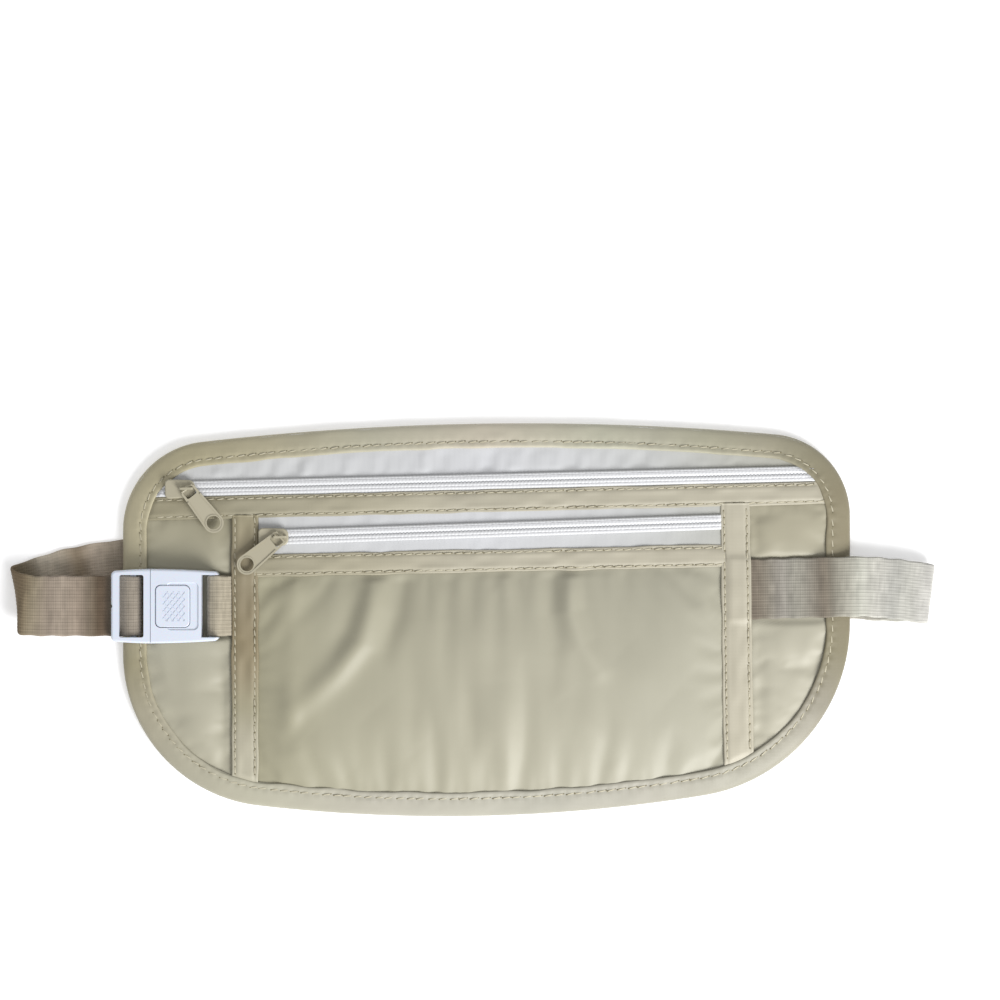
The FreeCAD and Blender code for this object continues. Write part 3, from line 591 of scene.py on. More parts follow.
def build_pocket():
    nu, nv = 98, 48
    x0, x1 = LS_X + 0.2, RS_X - 0.2
    x = np.linspace(x0, x1, nu)
    X, Y = columns(x, rim_y(x, False), line_y(LB, x) - 0.1, nv)
    X = X + (X - x0) / (x1 - x0) * (strip_x(Y) - RS_X)
    left, right = X - (LS_X + 4.9), strip_x(Y) - 5.4 - X
    top, low = line_y(LB, X) - 4.1 - Y, rim_distance(X, Y) - 8.0
    inside = smooth(0, 14, left) * smooth(0, 14, right) * smooth(0, 8, top) * smooth(0, 8, low)
    gather = np.exp(-np.maximum(top, 0) / 9) * smooth(0, 4, top) * smooth(0, 5, left) * smooth(0, 5, right)
    seed = inside * (0.8 + 0.5 * n_big(X + 40, Y)) + 0.3 * gather * n_vert(X, Y)
    for points, width, height in POCKET_FOLDS:
        seed += 0.35 * inside * fold(X, Y, points, width, height)
    held = (left < 0) | (right < 0) | (top < 0) | (low < 0)
    P = inflate("pocket_patch", X, Y, 5.0 + seed, held, 0.008, 0.8, cap=4.0)
    P = finer(P)
    X, Y = P[..., 0], P[..., 1]
    left, right = X - (LS_X + 4.9), strip_x(Y) - 5.4 - X
    top, low = line_y(LB, X) - 4.1 - Y, rim_distance(X, Y) - 8.0
    free = smooth(0, 6, left) * smooth(0, 6, right) * smooth(0, 3, top) * smooth(0, 6, low)
    for points, width, height in POCKET_FOLDS:
        P[..., 2] += 0.58 * free * fold(X, Y, points, width, height)
    gather = np.exp(-np.maximum(top, 0) / 8) * free
    P[..., 2] += 0.38 * gather * n_vert(X * 1.2, Y) + 0.10 * free * n_fold(X, Y)
    P[..., 2] = np.maximum(P[..., 2], 4.7) - 0.9 * rim_drop(rim_distance(X, Y))
    # painted shade: darkest and warmest at the left
    return cloth("pocket_panel_cloth", P, [(-85, 0.90, 0.89, 0.80), (-55, 0.94, 0.94, 0.90),
                                           (0, 0.97, 0.97, 0.97), (65, 0.95, 0.96, 0.98)])


# --- zip tapes --------------------------------------------------------------------------------------
# painted shade on the zip tapes: darker and warmer towards the right-hand end
TAPE_TONE = [
    (-90, 1.0, 1.0, 0.98), (0, 1.05, 1.05, 1.06), (35, 0.98, 0.98, 0.97), (60, 0.89, 0.89, 0.86),
    (90, 0.76, 0.75, 0.67), (115, 0.70, 0.68, 0.58)]


def build_tape(name, line, low_of, high_of, x0, x1, gather, rows):
    x = np.linspace(x0, x1, int((x1 - x0) / 0.8))
    low, high = low_of(x), high_of(x)
    X, Y = columns(x, low, np.maximum(high, low + 0.05), rows)
    off = np.abs(Y - line_y(line, X))
    crinkle = 0.55 * n_vert(X * 1.3 + 90, Y) + 0.35 * n_fine(X * 1.6, Y * 0.3)
    z = LAYER_Z + gather * smooth(2.5, 5.5, off) * crinkle
    d = rim_distance(X, Y)
    z = np.where(d < 12, LAYER_Z + (z - LAYER_Z) * smooth(8.2, 12, d), z) - PINCH * rim_drop(d)
    top = np.stack([X, Y, z], -1)
    return slab(name, top, top - [0, 0, TAPE_T], TAPE, by_table(X, TAPE_TONE))


def build_tapes():
    half = 0.6              # half the gap between a zip's two tapes
    a = build_tape("upper_tape_top", UZ, lambda x: line_y(UZ, x) + half, lambda x: rim_y(x, True),
                   -125.5, 124.5, 1.0, 26)
    b = build_tape("upper_tape_low", UZ, lambda x: line_y(UB, x) + 0.1, lambda x: line_y(UZ, x) - half,
                   -127, 126.5, 0.25, 10)
    c = build_tape("lower_tape_top", LZ, lambda x: line_y(LZ, x) + half, lambda x: line_y(UB, x) - 0.1,
                   LS_X + 0.3, RS_X - 0.9, 0.3, 12)
    d = build_tape("lower_tape_low", LZ, lambda x: line_y(LB, x) + 0.1, lambda x: line_y(LZ, x) - half,
                   LS_X + 0.3, RS_X - 0.6, 0.3, 12)
    return a, b, c, d


def build_coil(name, line, x0, x1, side):
    """One nylon coil: a ridge of close turns whose inner ends cross the centre line by turns."""
    pitch = 1.3
    foot = 5.42             # where the coil meets its tape
    c, sn = math.cos(math.radians(line[1])), math.sin(math.radians(line[1]))
    s = np.arange(x0 / c, x1 / c, pitch / 6)
    turn = np.cos(2 * math.pi * s / pitch + (math.pi if side < 0 else 0))
    # across the coil: offset from the centre line, height, and how much the turns show there
    profile = np.array([(0.04, 5.45, 0.3), (0.03, 6.1, 1.0), (0.24, 6.52, 1.0), (0.75, 6.78, 1.0),
                        (1.2, 6.78, 0.8), (1.55, 6.58, 0.3), (1.75, 6.52, 0.1), (2.0, 6.66, 0.2),
                        (2.35, 6.6, 0.5), (2.62, 6.25, 0.6), (2.72, 5.8, 0.2), (2.74, 5.45, 0.0)])
    off = profile[:, 0] + 0.20 * np.outer(turn, profile[:, 2] * np.exp(-(profile[:, 0] / 0.6) ** 2))
    off += 0.07 * np.outer(turn, profile[:, 2] * smooth(2.0, 2.5, profile[:, 0]))
    z = profile[:, 1] + 0.07 * np.outer(turn, profile[:, 2])
    off *= side
    X, Y = s[:, None] * c - sn * off, line[0] + s[:, None] * sn + c * off

    def pressed(z, x, y, run):
        """Heights of the coil, pressed flat where it runs in under the seams and the binding."""
        d = rim_distance(x, y)
        flat = smooth(0, 2.5, run - run[0]) * smooth(0, 1.6, run[-1] - run)
        flat = flat.reshape(-1, *(1,) * (np.ndim(z) - 1)) * smooth(8.3, 10.0, d)
        return foot - PINCH * rim_drop(d) + (z - foot) * (0.12 + 0.88 * flat)

    rings = np.stack([X, Y, pressed(z, X, Y, s)], -1)
    if side < 0:
        rings = rings[:, ::-1]
    o = tube(name, rings, COIL)
    # the line of sewing that holds the coil to its tape
    k = np.arange(x0 / c, x1 / c, 0.35)
    a = np.linspace(0, 2 * math.pi, 6, endpoint=False)
    cx, cy = k * c - side * 1.68 * sn, line[0] + k * sn + side * 1.68 * c
    zz = pressed(6.62 + 0.05 * np.cos(2 * math.pi * k / 2.4), cx, cy, k)
    ring = np.stack([cx[:, None] - sn * 0.17 * np.cos(a), cy[:, None] + c * 0.17 * np.cos(a),
                     zz[:, None] + 0.15 * np.sin(a)], -1)
    return [o, tube(name + "_thread", ring, WHITE_THREAD)]


# --- bands and strips -------------------------------------------------------------------------------
def stitch_rows(name, rows, pitch, length, zfun, slant=6):
    """Stitches along plan polylines. rows is a list of (n, 2) arrays; zfun gives the cloth's top there."""
    v, f = capsule(length, THREAD_R, THREAD_R * 0.8, seg=6, rows=5)
    frames = []
    local = np.random.default_rng(len(name))
    on_binding = "binding" in name
    for p in rows:
        seg = np.sqrt((np.diff(p, axis=0) ** 2).sum(1))
        s = np.concatenate([[0], np.cumsum(seg)])
        at = np.arange(pitch * 0.6, s[-1] - pitch * 0.4, pitch)
        at = at + local.uniform(-0.12, 0.12, len(at)) * pitch
        x, y = np.interp(at, s, p[:, 0]), np.interp(at, s, p[:, 1])
        dx, dy = np.interp(at + 0.5, s, p[:, 0]) - x, np.interp(at + 0.5, s, p[:, 1]) - y
        ang = np.arctan2(dy, dx) + np.radians(slant + local.uniform(-3, 3, len(at)))
        z = zfun(x, y)
        clear = rim_distance(x, y) > (0 if on_binding else BIND_W + 1.2)
        for k in np.nonzero(clear)[0]:
            c, sn = math.cos(ang[k]), math.sin(ang[k])
            frames.append((np.array([x[k], y[k], z[k]]), np.array([[c, -sn, 0], [sn, c, 0], [0, 0, 1]])))
    # painted shade: a flat dark capsule at each end of a stitch, for the shade in its needle hole
    hv, hf = capsule(0.62, THREAD_R, 0.11, seg=6, rows=5)
    holes = []
    for o, axes in frames:
        for end in (-1, 1):
            holes.append((o + axes @ np.array([end * length * 0.56, 0, 0.02 - THREAD_R * 0.3]), axes))
    return [copies(name, v, f, frames, THREAD), copies(name + "_hole_shades", hv, hf, holes, HOLE_SHADE)]


def ribbon_profile(half, thick, rows_at, pucker):
    """Top height across a folded strip: rounded edges, a dip at each stitch row."""
    def h(v):
        e = np.clip(np.abs(v) / half, 0, 1)
        z = thick * np.maximum(1 - e ** 9, 0.0) ** 0.5
        for r in rows_at:
            z = z - pucker * np.exp(-((v - r) / 0.55) ** 2)
        return z
    return h


def build_ribbon(name, centre, across_dir, half, thick, rows_at, s_len, base, seed, tone):
    """A sewn-down strip. centre(t) gives plan points, t in mm; across_dir is the unit vector across it."""
    step, wave, across = 0.7, 0.25, 25
    n = int(s_len / step)
    t = np.linspace(0, s_len, n)
    c = centre(t)
    v = half * np.sin(np.linspace(-math.pi / 2, math.pi / 2, across))
    nz, ne = Noise(7, 3, seed), Noise(9, 50, seed + 1)
    h = ribbon_profile(half, thick, rows_at, 0.28)
    T, W = np.meshgrid(t, v, indexing="ij")
    edge = 0.22 * ne(T, np.sign(W) * 200)          # edges aren't perfectly straight
    Wd = W + edge * (np.abs(W) / half) ** 2
    X = c[:, 0][:, None] + Wd * across_dir[0]
    Y = c[:, 1][:, None] + Wd * across_dir[1]
    zb = base(X, Y)
    pk = 1 + 0.5 * np.cos(2 * math.pi * T / 3.3)
    H = h(W) + wave * nz(T, W) * (1 - (np.abs(W) / half) ** 6)
    for r in rows_at:
        H -= 0.07 * pk * np.exp(-((W - r) / 0.8) ** 2)
    # the ends run in under the binding
    Z = zb + 0.05 + H * (0.08 + 0.92 * smooth(BIND_W - 0.6, BIND_W + 1.6, rim_distance(X, Y)))
    top = np.stack([X, Y, Z], -1)
    low = np.stack([X, Y, np.minimum(zb, Z - 0.02)], -1)
    return slab(name, top, low, BINDING, tone(X, Y))


# painted shade on the sewn-down tapes: the left half is darker, most of all on the left strip
BAND_TONE = [
    (-118, 0.72, 0.70, 0.60), (-80, 0.80, 0.79, 0.72), (-45, 0.93, 0.92, 0.86), (-10, 1.0, 1.0, 1.0),
    (130, 1.0, 1.0, 1.0)]
LEFT_STRIP_TONE = [
    (-60, 1.04, 1.06, 1.04), (-42, 0.98, 0.98, 0.95), (-32, 0.77, 0.76, 0.66), (-20, 0.67, 0.61, 0.50),
    (-8, 0.57, 0.50, 0.38), (8, 0.60, 0.54, 0.44), (24, 0.69, 0.64, 0.54), (40, 0.72, 0.69, 0.57)]


def cover_base(x, y):
    """What the bands and strips lie on: flat layers, lower near the rim, raised over the webbing ends."""
    d = rim_distance(x, y)
    z = LAYER_Z - PINCH * rim_drop(d)
    strap = np.exp(-(np.maximum(np.abs(y - STRAP_Y) - 10.4, 0) / 1.6) ** 2) * smooth(85.6, 88.6, x)
    web = np.exp(-(np.maximum(np.abs(y - BUCKLE_Y) - 10.4, 0) / 1.6) ** 2) * (1 - smooth(-88.5, -86, x))
    return z + 0.75 * strap + 0.35 * web


def cross_rim(line, side, inset):
    """X where a sloping line meets the outline moved in by inset, on one side."""
    p = outline(inset, 0.5)[0]
    p = p[np.sign(p[:, 0]) == side]
    k = np.argmin(np.abs(p[:, 1] - line_y(line, p[:, 0])))
    return p[k, 0]


def build_bands():
    out = []
    for name, line, x0, x1, seed in (
        ("upper_zip_band_cloth", UB, cross_rim(UB, -1, BIND_W - 2), cross_rim(UB, 1, BIND_W - 2), 21),
        ("lower_zip_band_cloth", LB, LS_X + LS_W / 2 - 2.0, RS_X - RS_W / 2 + 1.6, 23),
    ):
        c, s = math.cos(math.radians(line[1])), math.sin(math.radians(line[1]))
        length = (x1 - x0) / c
        centre = lambda t: np.stack([x0 + t * c, line_y(line, x0) + t * s], 1)
        rows_at = (-BAND_STITCH, BAND_STITCH)
        out.append(build_ribbon(name, centre, (-s, c), BAND_W / 2, 0.75, rows_at, length, cover_base, seed,
                                lambda x, y: by_table(x, BAND_TONE)))
        rows = [centre(np.linspace(0, length, 200)) + np.array([-s, c]) * off for off in rows_at]
        out += stitch_rows(name.replace("cloth", "stitches"), rows, 3.6, 2.5,
                           lambda x, y: cover_base(x, y) + 0.62)
    return out


def build_strips():
    out = []
    for name, x0, lean, width, seed, table in (
        ("left_strip_cloth", LS_X, 0.0, LS_W, 31, LEFT_STRIP_TONE),
        ("right_strip_cloth", RS_X, RS_LEAN, RS_W, 33, [(0, 1, 1, 1)]),
    ):
        y1 = line_y(UB, x0) - BAND_W / 2 + 1.0
        y0 = float(rim_y(x0, False)) + BIND_W - 2.6
        length = y1 - y0
        c, s = math.cos(math.radians(lean)), math.sin(math.radians(lean))
        centre = lambda t: np.stack([x0 - (y0 + t) * tan(lean), y0 + t], 1)
        rows_at = (-(width / 2 - 1.3), width / 2 - 1.3)
        out.append(build_ribbon(name, centre, (-c, -s), width / 2, 0.85, rows_at, length,
                                lambda x, y: cover_base(x, y) + 0.12, seed, lambda x, y: by_table(y, table)))
        rows = [centre(np.linspace(0, length, 100)) + np.array([c, s]) * off for off in rows_at]
        out += stitch_rows(name.replace("cloth", "stitches"), rows, 3.1, 2.2,
                           lambda x, y: cover_base(x, y) + 0.84)
    return out


# --- binding ----------------------------------------------------------------------------------------
# painted light and shade along the rim, in mm anticlockwise from the start of the upper right corner
# darkest at the right side and its two corners, lightest along the top
RIM_TONE = [
    (0, 0.55, 0.52, 0.43), (9.5, 0.53, 0.50, 0.41), (29, 0.63, 0.62, 0.54), (49, 0.90, 0.90, 0.85),
    (69, 1.00, 1.03, 0.98), (90, 1.08, 1.12, 1.12), (108, 1.16, 1.22, 1.22), (148, 1.32, 1.30, 1.33),
    (188, 1.14, 1.17, 1.15), (227, 1.04, 1.02, 0.90), (256, 1.00, 0.97, 0.80), (286, 1.08, 1.05, 0.90),
    (325, 0.98, 0.95, 0.83), (346, 0.80, 0.77, 0.63), (365, 0.93, 0.92, 0.86), (385, 0.90, 0.91, 0.88),
    (424, 0.94, 0.97, 0.96), (464, 0.91, 0.93, 0.98), (503, 0.89, 0.92, 0.97), (523, 0.82, 0.85, 0.90),
    (562, 0.80, 0.82, 0.87), (602, 0.70, 0.72, 0.73), (622, 0.72, 0.73, 0.74), (641, 0.53, 0.52, 0.50),
    (661, 0.48, 0.46, 0.37), (680, 0.52, 0.49, 0.41), (711, 0.55, 0.52, 0.43)]


def build_binding():
    p, n = outline(0.0, 0.7)
    s = np.concatenate([[0], np.cumsum(np.sqrt((np.diff(p, axis=0) ** 2).sum(1)))])
    nz, ne = Noise(6, 4, 41), Noise(9, 50, 42)
    # cross section, as distance in from the edge and height: the front leg, then the fold, then the back leg
    front_s = np.array([8.8, 8.75, 8.4, 7.7, 7.0, 6.5, 5.8, 4.8, 3.6, 2.4, 1.3, 0.55, 0.12, 0.0])
    base = LAYER_Z - PINCH * rim_drop(front_s)
    over = np.array([0.05, 0.45, 0.66, 0.68, 0.5, 0.42, 0.6, 0.72, 0.72, 0.66, 0.45, 0.0, -0.65, -1.3])
    front_z = base + over
    back_s = np.array([0.15, 0.7, 1.8, 3.6, 5.6, 7.2, 8.4, 8.75, 8.8])
    back_z = np.array([1.95, 1.55, 1.4, 1.35, 1.35, 1.35, 1.4, 1.55, 1.8])
    prof_s, prof_z = np.concatenate([front_s, back_s]), np.concatenate([front_z, back_z])
    m = len(prof_s)
    S = np.repeat(s[:, None], m, 1)
    Q = np.repeat(prof_s[None], len(s), 0)
    wob = 0.35 * ne(S, 0 * S) * (Q / BIND_W) ** 2
    Qd = Q + wob
    Zt = np.repeat(prof_z[None], len(s), 0)
    isfront = np.zeros(m, bool)
    isfront[:len(front_s) - 1] = True
    pk = np.cos(2 * math.pi * S / 3.8)
    along_row = 0.10 * pk * np.exp(-((Q - RIM_STITCH_IN) / 1.2) ** 2)
    Zt = Zt + np.where(isfront, 0.16 * nz(S, Q * 1.5) + along_row, 0)
    X = p[:, 0][:, None] + n[:, 0][:, None] * Qd
    Y = p[:, 1][:, None] + n[:, 1][:, None] * Qd
    outer = np.stack([X, Y, Zt], -1)
    # the inside of the fold, about 0.4 mm in from the outside
    q2 = np.clip(prof_s, 0.45, BIND_W)[::-1]
    z2 = np.where(np.arange(m) < len(front_s), front_z[np.minimum(np.arange(m), len(front_s) - 1)] - 0.38, 0)
    z2[len(front_s):] = back_z + 0.38
    z2[len(front_s) - 3:len(front_s) + 2] = np.linspace(3.1, 2.3, 5)
    z2 = z2[::-1]
    X2 = p[:, 0][:, None] + n[:, 0][:, None] * q2[None]
    Y2 = p[:, 1][:, None] + n[:, 1][:, None] * q2[None]
    inner = np.stack([X2, Y2, np.repeat(z2[None], len(s), 0)], -1)
    rings = np.concatenate([outer, inner], 1)
    b = tube("edge_binding_cloth", rings, BINDING, close=True)
    set_tone(b, np.repeat(by_table(s, RIM_TONE)[:, None, :], 2 * m, 1))
    row = outline(RIM_STITCH_IN, 0.7)[0]
    row = np.concatenate([row, row[:1]])
    out = [b]
    for name, height in (("edge_binding_stitches", LAYER_Z - PINCH * float(rim_drop(RIM_STITCH_IN)) + 0.5),
                         ("edge_binding_back_stitches", BACK_Z)):
        out += stitch_rows(name, [row], 3.8, 2.6, lambda x, y: np.full(np.shape(x), height), slant=9)
    return out


# --- straps -----------------------------------------------------------------------------------------
def relax(p, rounds):
    """Smooth a row of values or points, leaving its first two and last two alone."""
    q = p.copy()
    for _ in range(rounds):
        q[2:-2] = (q[1:-3] + 2 * q[2:-2] + q[3:-1]) / 4
    return q


def webbing(name, path, width, thick, mat, ribs, rib_h, cross_pitch, cross_h, seed, body, waves, tint):
    """A woven strap along path, whose columns are x, y, z of the centre line, with its width mostly along Y.
    waves is the height of its crosswise ripples, and tint its tone, at each point of the path."""
    n = len(path)
    t = np.gradient(path, axis=0)
    t /= np.linalg.norm(t, axis=1)[:, None]
    # width direction: level, square to the plan direction of the run, kept pointing to +Y
    plan = np.gradient(relax(path[:, :2], 60), axis=0)
    ang = np.arctan2(plan[:, 1], plan[:, 0])
    ang = np.where(np.abs(ang) > math.pi / 2, ang - np.sign(ang) * math.pi, ang)
    speed = np.linalg.norm(plan, axis=1)
    weight = np.clip(speed / np.median(speed), 0, 1) ** 2 + 1e-3
    k = np.hanning(41)
    around = lambda q: np.convolve(np.pad(q, 20, mode="edge"), k, "valid")
    ang = around(ang * weight) / around(weight)
    w = np.stack([-np.sin(ang), np.cos(ang), np.zeros(n)], 1)
    nrm = np.cross(t, w)
    nrm /= np.linalg.norm(nrm, axis=1)[:, None]
    m = ribs * 4
    v = np.linspace(-1, 1, m)
    s = np.concatenate([[0], np.cumsum(np.linalg.norm(np.diff(path, axis=0), axis=1))])
    nz, nw = Noise(4.5, 5, seed), Noise(4.0, 30, seed + 1)
    S, V = np.meshgrid(s, v, indexing="ij")
    half = thick / 2
    edge = np.maximum(1 - np.abs(V) ** 26, 0.0) ** 0.5
    rib = rib_h * np.cos(math.pi * ribs * V) + cross_h * np.cos(2 * math.pi * S / cross_pitch)
    h = (half + rib + 0.05 * nz(S, V * 8)) * (0.25 + 0.75 * edge)
    lift = waves[:, None] * nw(S, V * width / 2)
    wv = V * (width / 2 - 0.15 * np.cos(2 * math.pi * S / 9.0 + 2 * nz(S * 0.2, 0 * V)) * np.abs(V) ** 3)
    c = path[:, None, :]
    top = c + wv[..., None] * w[:, None, :] + (h + lift)[..., None] * nrm[:, None, :]
    low = c + wv[..., None] * w[:, None, :] + (-h + lift)[..., None] * nrm[:, None, :]
    o = tube(name, np.concatenate([top, low[:, ::-1]], 1), mat, body)
    # painted light and shade: lighter rib crests and darker grooves, lighter and darker streaks where the
    # strap ripples, over an uneven weave
    streak, yarn = Noise(2.2, 60, seed + 2), Noise(0.9, 0.35, seed + 3)
    shade = 1 + 0.055 * np.cos(math.pi * ribs * V) + 0.08 * nz(S * 2.0, V * 20) + 0.10 * yarn(S, V)
    shade *= 1 + np.clip(waves, 0, 0.5)[:, None] * (0.5 * streak(S, V) + 0.5 * nw(S, V * width / 2))
    shade = np.concatenate([shade, shade[:, ::-1]], 1)[..., None] * tint[:, None, :]
    set_tone(o, shade * np.ones(3))
    return o


def half_turn(x, z, r, side, z_from_top=True):
    """Points of a half circle in x and z that bulges to side."""
    start = math.pi / 2 if z_from_top else -math.pi / 2
    a = np.linspace(start, -start, TURN_POINTS)
    return [(x + side * r * math.cos(q), z + r * math.sin(q)) for q in a]


def along(xz, step):
    """Points spaced by step along a line in x and z, with the distance of each and of each given point."""
    xz = np.array(xz)
    s = np.concatenate([[0], np.cumsum(np.sqrt((np.diff(xz, axis=0) ** 2).sum(1)))])
    t = np.arange(0, s[-1], step)
    return np.interp(t, s, xz[:, 0]), np.interp(t, s, xz[:, 1]), t, s


# painted light and shade on the elastic along X: the front run at the right, the run behind the pouch, the
# run to the buckle
FRONT_TONE = [
    (95, 0.59, 0.57, 0.55), (98, 0.59, 0.57, 0.55), (102, 0.67, 0.70, 0.70), (106, 1.04, 1.11, 1.21),
    (110, 0.81, 0.89, 0.93), (114, 0.83, 0.90, 0.94), (118, 0.74, 0.76, 0.77), (122, 0.43, 0.40, 0.37),
    (126, 0.90, 0.98, 1.00), (130, 1.03, 1.13, 1.18), (134, 1.37, 1.57, 1.68), (140, 1.61, 1.80, 2.00),
    (146, 1.19, 1.35, 1.53), (152, 1.36, 1.54, 1.71), (158, 1.50, 1.68, 1.93)]
BACK_TONE = [
    (-168, 1.2, 1.2, 1.2), (-158, 1.90, 1.95, 1.95), (-152, 1.60, 1.60, 1.58), (-146, 0.86, 0.76, 0.62),
    (-140, 1.85, 1.80, 1.80), (-136, 1.35, 1.30, 1.25), (-125, 0.80, 0.80, 0.80), (120, 0.80, 0.80, 0.80),
    (155, 1.35, 1.55, 1.70)]
BUCKLE_TONE = [
    (-168, 0.56, 0.47, 0.34), (-163, 0.89, 0.87, 0.75), (-158, 0.87, 0.82, 0.81), (-152, 1.19, 1.14, 1.12),
    (-146, 1.00, 0.92, 0.89), (-142, 0.52, 0.49, 0.43), (-138, 0.37, 0.27, 0.20), (-134, 0.60, 0.60, 0.58),
    (-128, 1.0, 1.0, 1.0)]


def build_waist_strap():
    mid = 0.62
    # right-hand run, fold and back run, then the left fold and the way through the buckle: x, z
    xz = [(89.2, 5.85), (96.5, 5.85), (107, 5.9), (113, 6.05), (118, 6.6), (123, 7.3),
          (127, 7.6), (131, 7.55), (136, 7.1), (142, 6.6), (150, 6.3)]
    r_r = 2.9
    xz += half_turn(160.6 - r_r - 0.6, mid + r_r, r_r, 1)
    n_right = len(xz)
    xz += [(150, mid), (132, mid), (120, mid), (0, mid), (-120, mid), (-140, mid), (-160, mid)]
    n_back = len(xz) - 1
    high, low, over = 8.75, 7.15, 10.95
    r_l = (high - mid) / 2
    xz += half_turn(-169.6 + r_l + 0.6, mid + r_l, r_l, -1, z_from_top=False)
    xz += [(-160, 8.9), (-145, 8.8), (-133.5, high), (-131.3, 8.85), (-129.3, over), (-125.4, over + 0.1),
           (-124.1, 10.7), (-123.9, 8.8), (-125.0, 7.2), (-128, low), (-136, low), (-147, 6.9), (-158, 6.4)]
    x, z, t, s = along(xz, 0.62)
    # plan of the centre line: the front run bows a little, the back run arches behind the pouch
    s_r, s_l = s[n_right], s[n_back]
    front = np.interp(x, [89, 110, 136, 150, 158.5], [10.9, 11.5, 12.2, 11.0, 9.2])
    back = np.interp(x, [-167, -160, -152, -136, -110, -60, 0, 60, 110, 131, 158],
                     [8.2, 11.8, 14.6, 17.6, 20.0, 21.8, 21.2, 18.4, 14.0, 11.2, 9.2])
    y = np.where(t < s_r, front, back)
    y = np.where(t > s_l + 3, STRAP_Y + (BUCKLE_Y - STRAP_Y) * smooth(s_l + 3, s_l + 17, t), y)
    y = relax(y[:, None], 40)[:, 0]
    z = np.where(t < s_r - 6, relax(z[:, None], 60)[:, 0], z)
    path = relax(np.stack([x, y, z], 1), 10)
    gathered = smooth(0, 3, t) * smooth(48, 30, t)          # elastic bunches where it is sewn in
    slack = smooth(s_l + 4, s_l + 16, t) * smooth(s_l + 52, s_l + 40, t)
    waves = 0.08 + 0.16 * gathered + 0.20 * slack
    # painted light and shade on the elastic: lighter where it runs out past the pouch, darker where it
    # bunches or lies in shade
    tone = by_table(x, BACK_TONE)
    tone[t < s_r] = by_table(x, FRONT_TONE)[t < s_r]
    tone[t > s_l] = by_table(x, BUCKLE_TONE)[t > s_l]
    tone = relax(tone, 12)
    o = webbing("waist_strap_elastic", path, STRAP_W, STRAP_T, ELASTIC, 17, 0.055, 1.5, 0.04, 51, None,
                waves, tone)
    return o, float(s[-1])


def build_anchor():
    xz = [(-86.8, 5.15), (-91.4, 5.3), (-93.0, 6.1), (-95.0, 8.4), (-96.6, 9.85), (-98.4, 10.15),
          (-99.7, 9.8), (-100.1, 8.9), (-100.1, 7.9), (-99.7, 7.0), (-98.4, 6.7), (-96.8, 6.5), (-94.6, 5.5),
          (-92.6, 4.4), (-86.8, 4.3)]
    x, z, t, s = along(xz, 0.3)
    path = relax(np.stack([x, np.full(len(t), BUCKLE_Y), z], 1), 8)
    waves = 0.16 * smooth(7, 10, t) * smooth(20, 16, t)
    tint = (1.12 - 0.26 * smooth(-95.0, -97.5, path[:, 0]))[:, None]
    o = webbing("anchor_webbing_woven", path, STRAP_W, WEBBING_T, WEBBING, 15, 0.06, 1.4, 0.05, 61, "pouch",
                waves, tint)
    return o, float(s[-1])


# --- put it together --------------------------------------------------------------------------------
back = build_back()
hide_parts("back_panel")
main = build_main()
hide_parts("main_panel")
pocket = build_pocket()
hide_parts("front_pocket_panel")
tapes = build_tapes()
for o, node in zip(tapes, ("upper_zip_tape_upper", "upper_zip_tape_lower",
                           "lower_zip_tape_upper", "lower_zip_tape_lower")):
    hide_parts(node)
coils = []
for name, line, x0, x1, side, node in (
    ("upper_coil_top", UZ, -119.5, 119.0, 1, "upper_zip_coil_upper"),
    ("upper_coil_low", UZ, -120.5, 121.5, -1, "upper_zip_coil_lower"),
    ("lower_coil_top", LZ, -81.8, 85.3, 1, "lower_zip_coil_upper"),
    ("lower_coil_low", LZ, -81.8, 85.3, -1, "lower_zip_coil_lower"),
):
    pair = build_coil(name, line, x0, x1, side)
    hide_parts(node)
    coils += pair
bands = build_bands()
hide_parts("upper_zip_band")
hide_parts("lower_zip_band")
strips = build_strips()
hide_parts("left_cover_strip")
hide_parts("right_cover_strip")
binding = build_binding()
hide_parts("edge_binding")
strap, strap_len = build_waist_strap()
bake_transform(strap)
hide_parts("waist_strap")
anchor, anchor_len = build_anchor()
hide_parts("anchor_webbing")

# --- the flat size each sheet was cut to ------------------------------------------------------------
def cut_area(x0, x1, low, high):
    """Area in square metres between two plan lines."""
    x = np.linspace(x0, x1, 800)
    return float(np.maximum(high(x) - low(x), 0).mean() * (x1 - x0) * 1e-6)


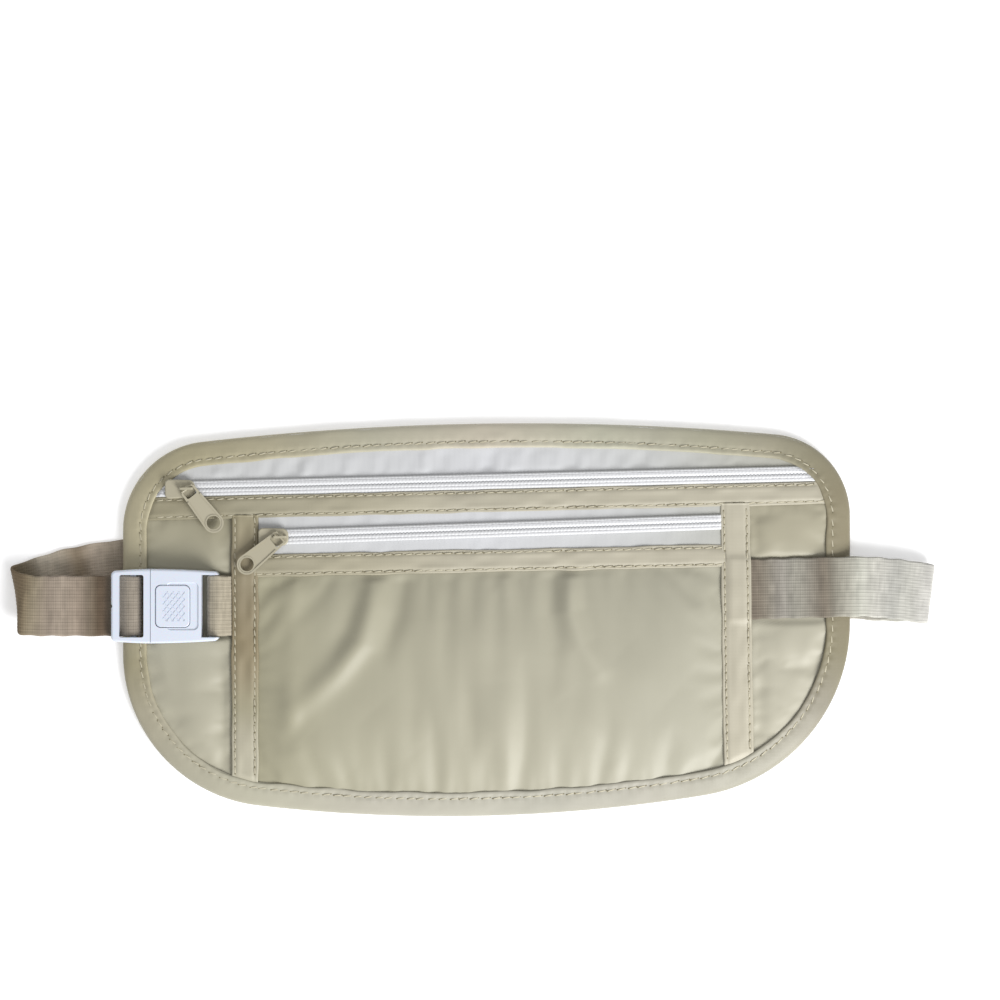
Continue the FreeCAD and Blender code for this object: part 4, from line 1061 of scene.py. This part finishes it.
low_rim, high_rim = (lambda x: rim_y(x, False)), (lambda x: rim_y(x, True))
rim_mm = float(np.sqrt((np.diff(outline(BIND_W / 2, 0.7)[0], axis=0) ** 2).sum(1)).sum())
cut_area(-130.4, 130.4, low_rim, high_rim)
cut_area(-130.4, 130.4, low_rim, lambda x: np.minimum(line_y(UB, x), rim_y(x, True)))
cut_area(LS_X, RS_X, low_rim, lambda x: line_y(LB, x))

# --- stage, light and camera ------------------------------------------------------------------------
FLOOR_Z, FLOOR_HALF = -0.0002, 4      # metres, as is everything below
FLOOR_GLOW = 0.34
KEY_AT, KEY_SIZE, KEY_POWER = (0.38, -0.46, 0.50), 0.42, 7.6
SKY = 0.55
CAMERA_AT = (0.0102, 0.0432, 1.505)

floor_m = material("floor", (0.90, 0.90, 0.91, 1), rough=0.9, spec=0.1)
glow = floor_m.node_tree.nodes["Principled BSDF"].inputs
glow["Emission Color"].default_value = (1, 1, 1, 1)
glow["Emission Strength"].default_value = FLOOR_GLOW
me = bpy.data.meshes.new("floor")
me.from_pydata([(x * FLOOR_HALF, y * FLOOR_HALF, FLOOR_Z) for x, y in ((-1, -1), (1, -1), (1, 1), (-1, 1))],
               [], [(0, 1, 2, 3)])
me.materials.append(floor_m)
floor = bpy.data.objects.new("floor", me)
bpy.context.scene.collection.objects.link(floor)

lamp = bpy.data.lights.new("key", "AREA")
lamp.shape = "RECTANGLE"
lamp.size = lamp.size_y = KEY_SIZE
lamp.energy = KEY_POWER
key = bpy.data.objects.new("key", lamp)
key.location = KEY_AT
key.rotation_mode = "QUATERNION"
key.rotation_quaternion = (-Vector(KEY_AT)).to_track_quat("-Z", "Y")
bpy.context.scene.collection.objects.link(key)

world = bpy.data.worlds.new("world")
bpy.context.scene.world = world
world.use_nodes = True
world.node_tree.nodes["Background"].inputs[0].default_value = (1, 1, 1, 1)
world.node_tree.nodes["Background"].inputs[1].default_value = SKY

lens = bpy.data.cameras.new("camera")
lens.lens, lens.sensor_width = 150, 36
cam = bpy.data.objects.new("camera", lens)
cam.location = CAMERA_AT
bpy.context.scene.collection.objects.link(cam)
bpy.context.scene.camera = cam
bpy.context.scene.view_settings.view_transform = "Standard"
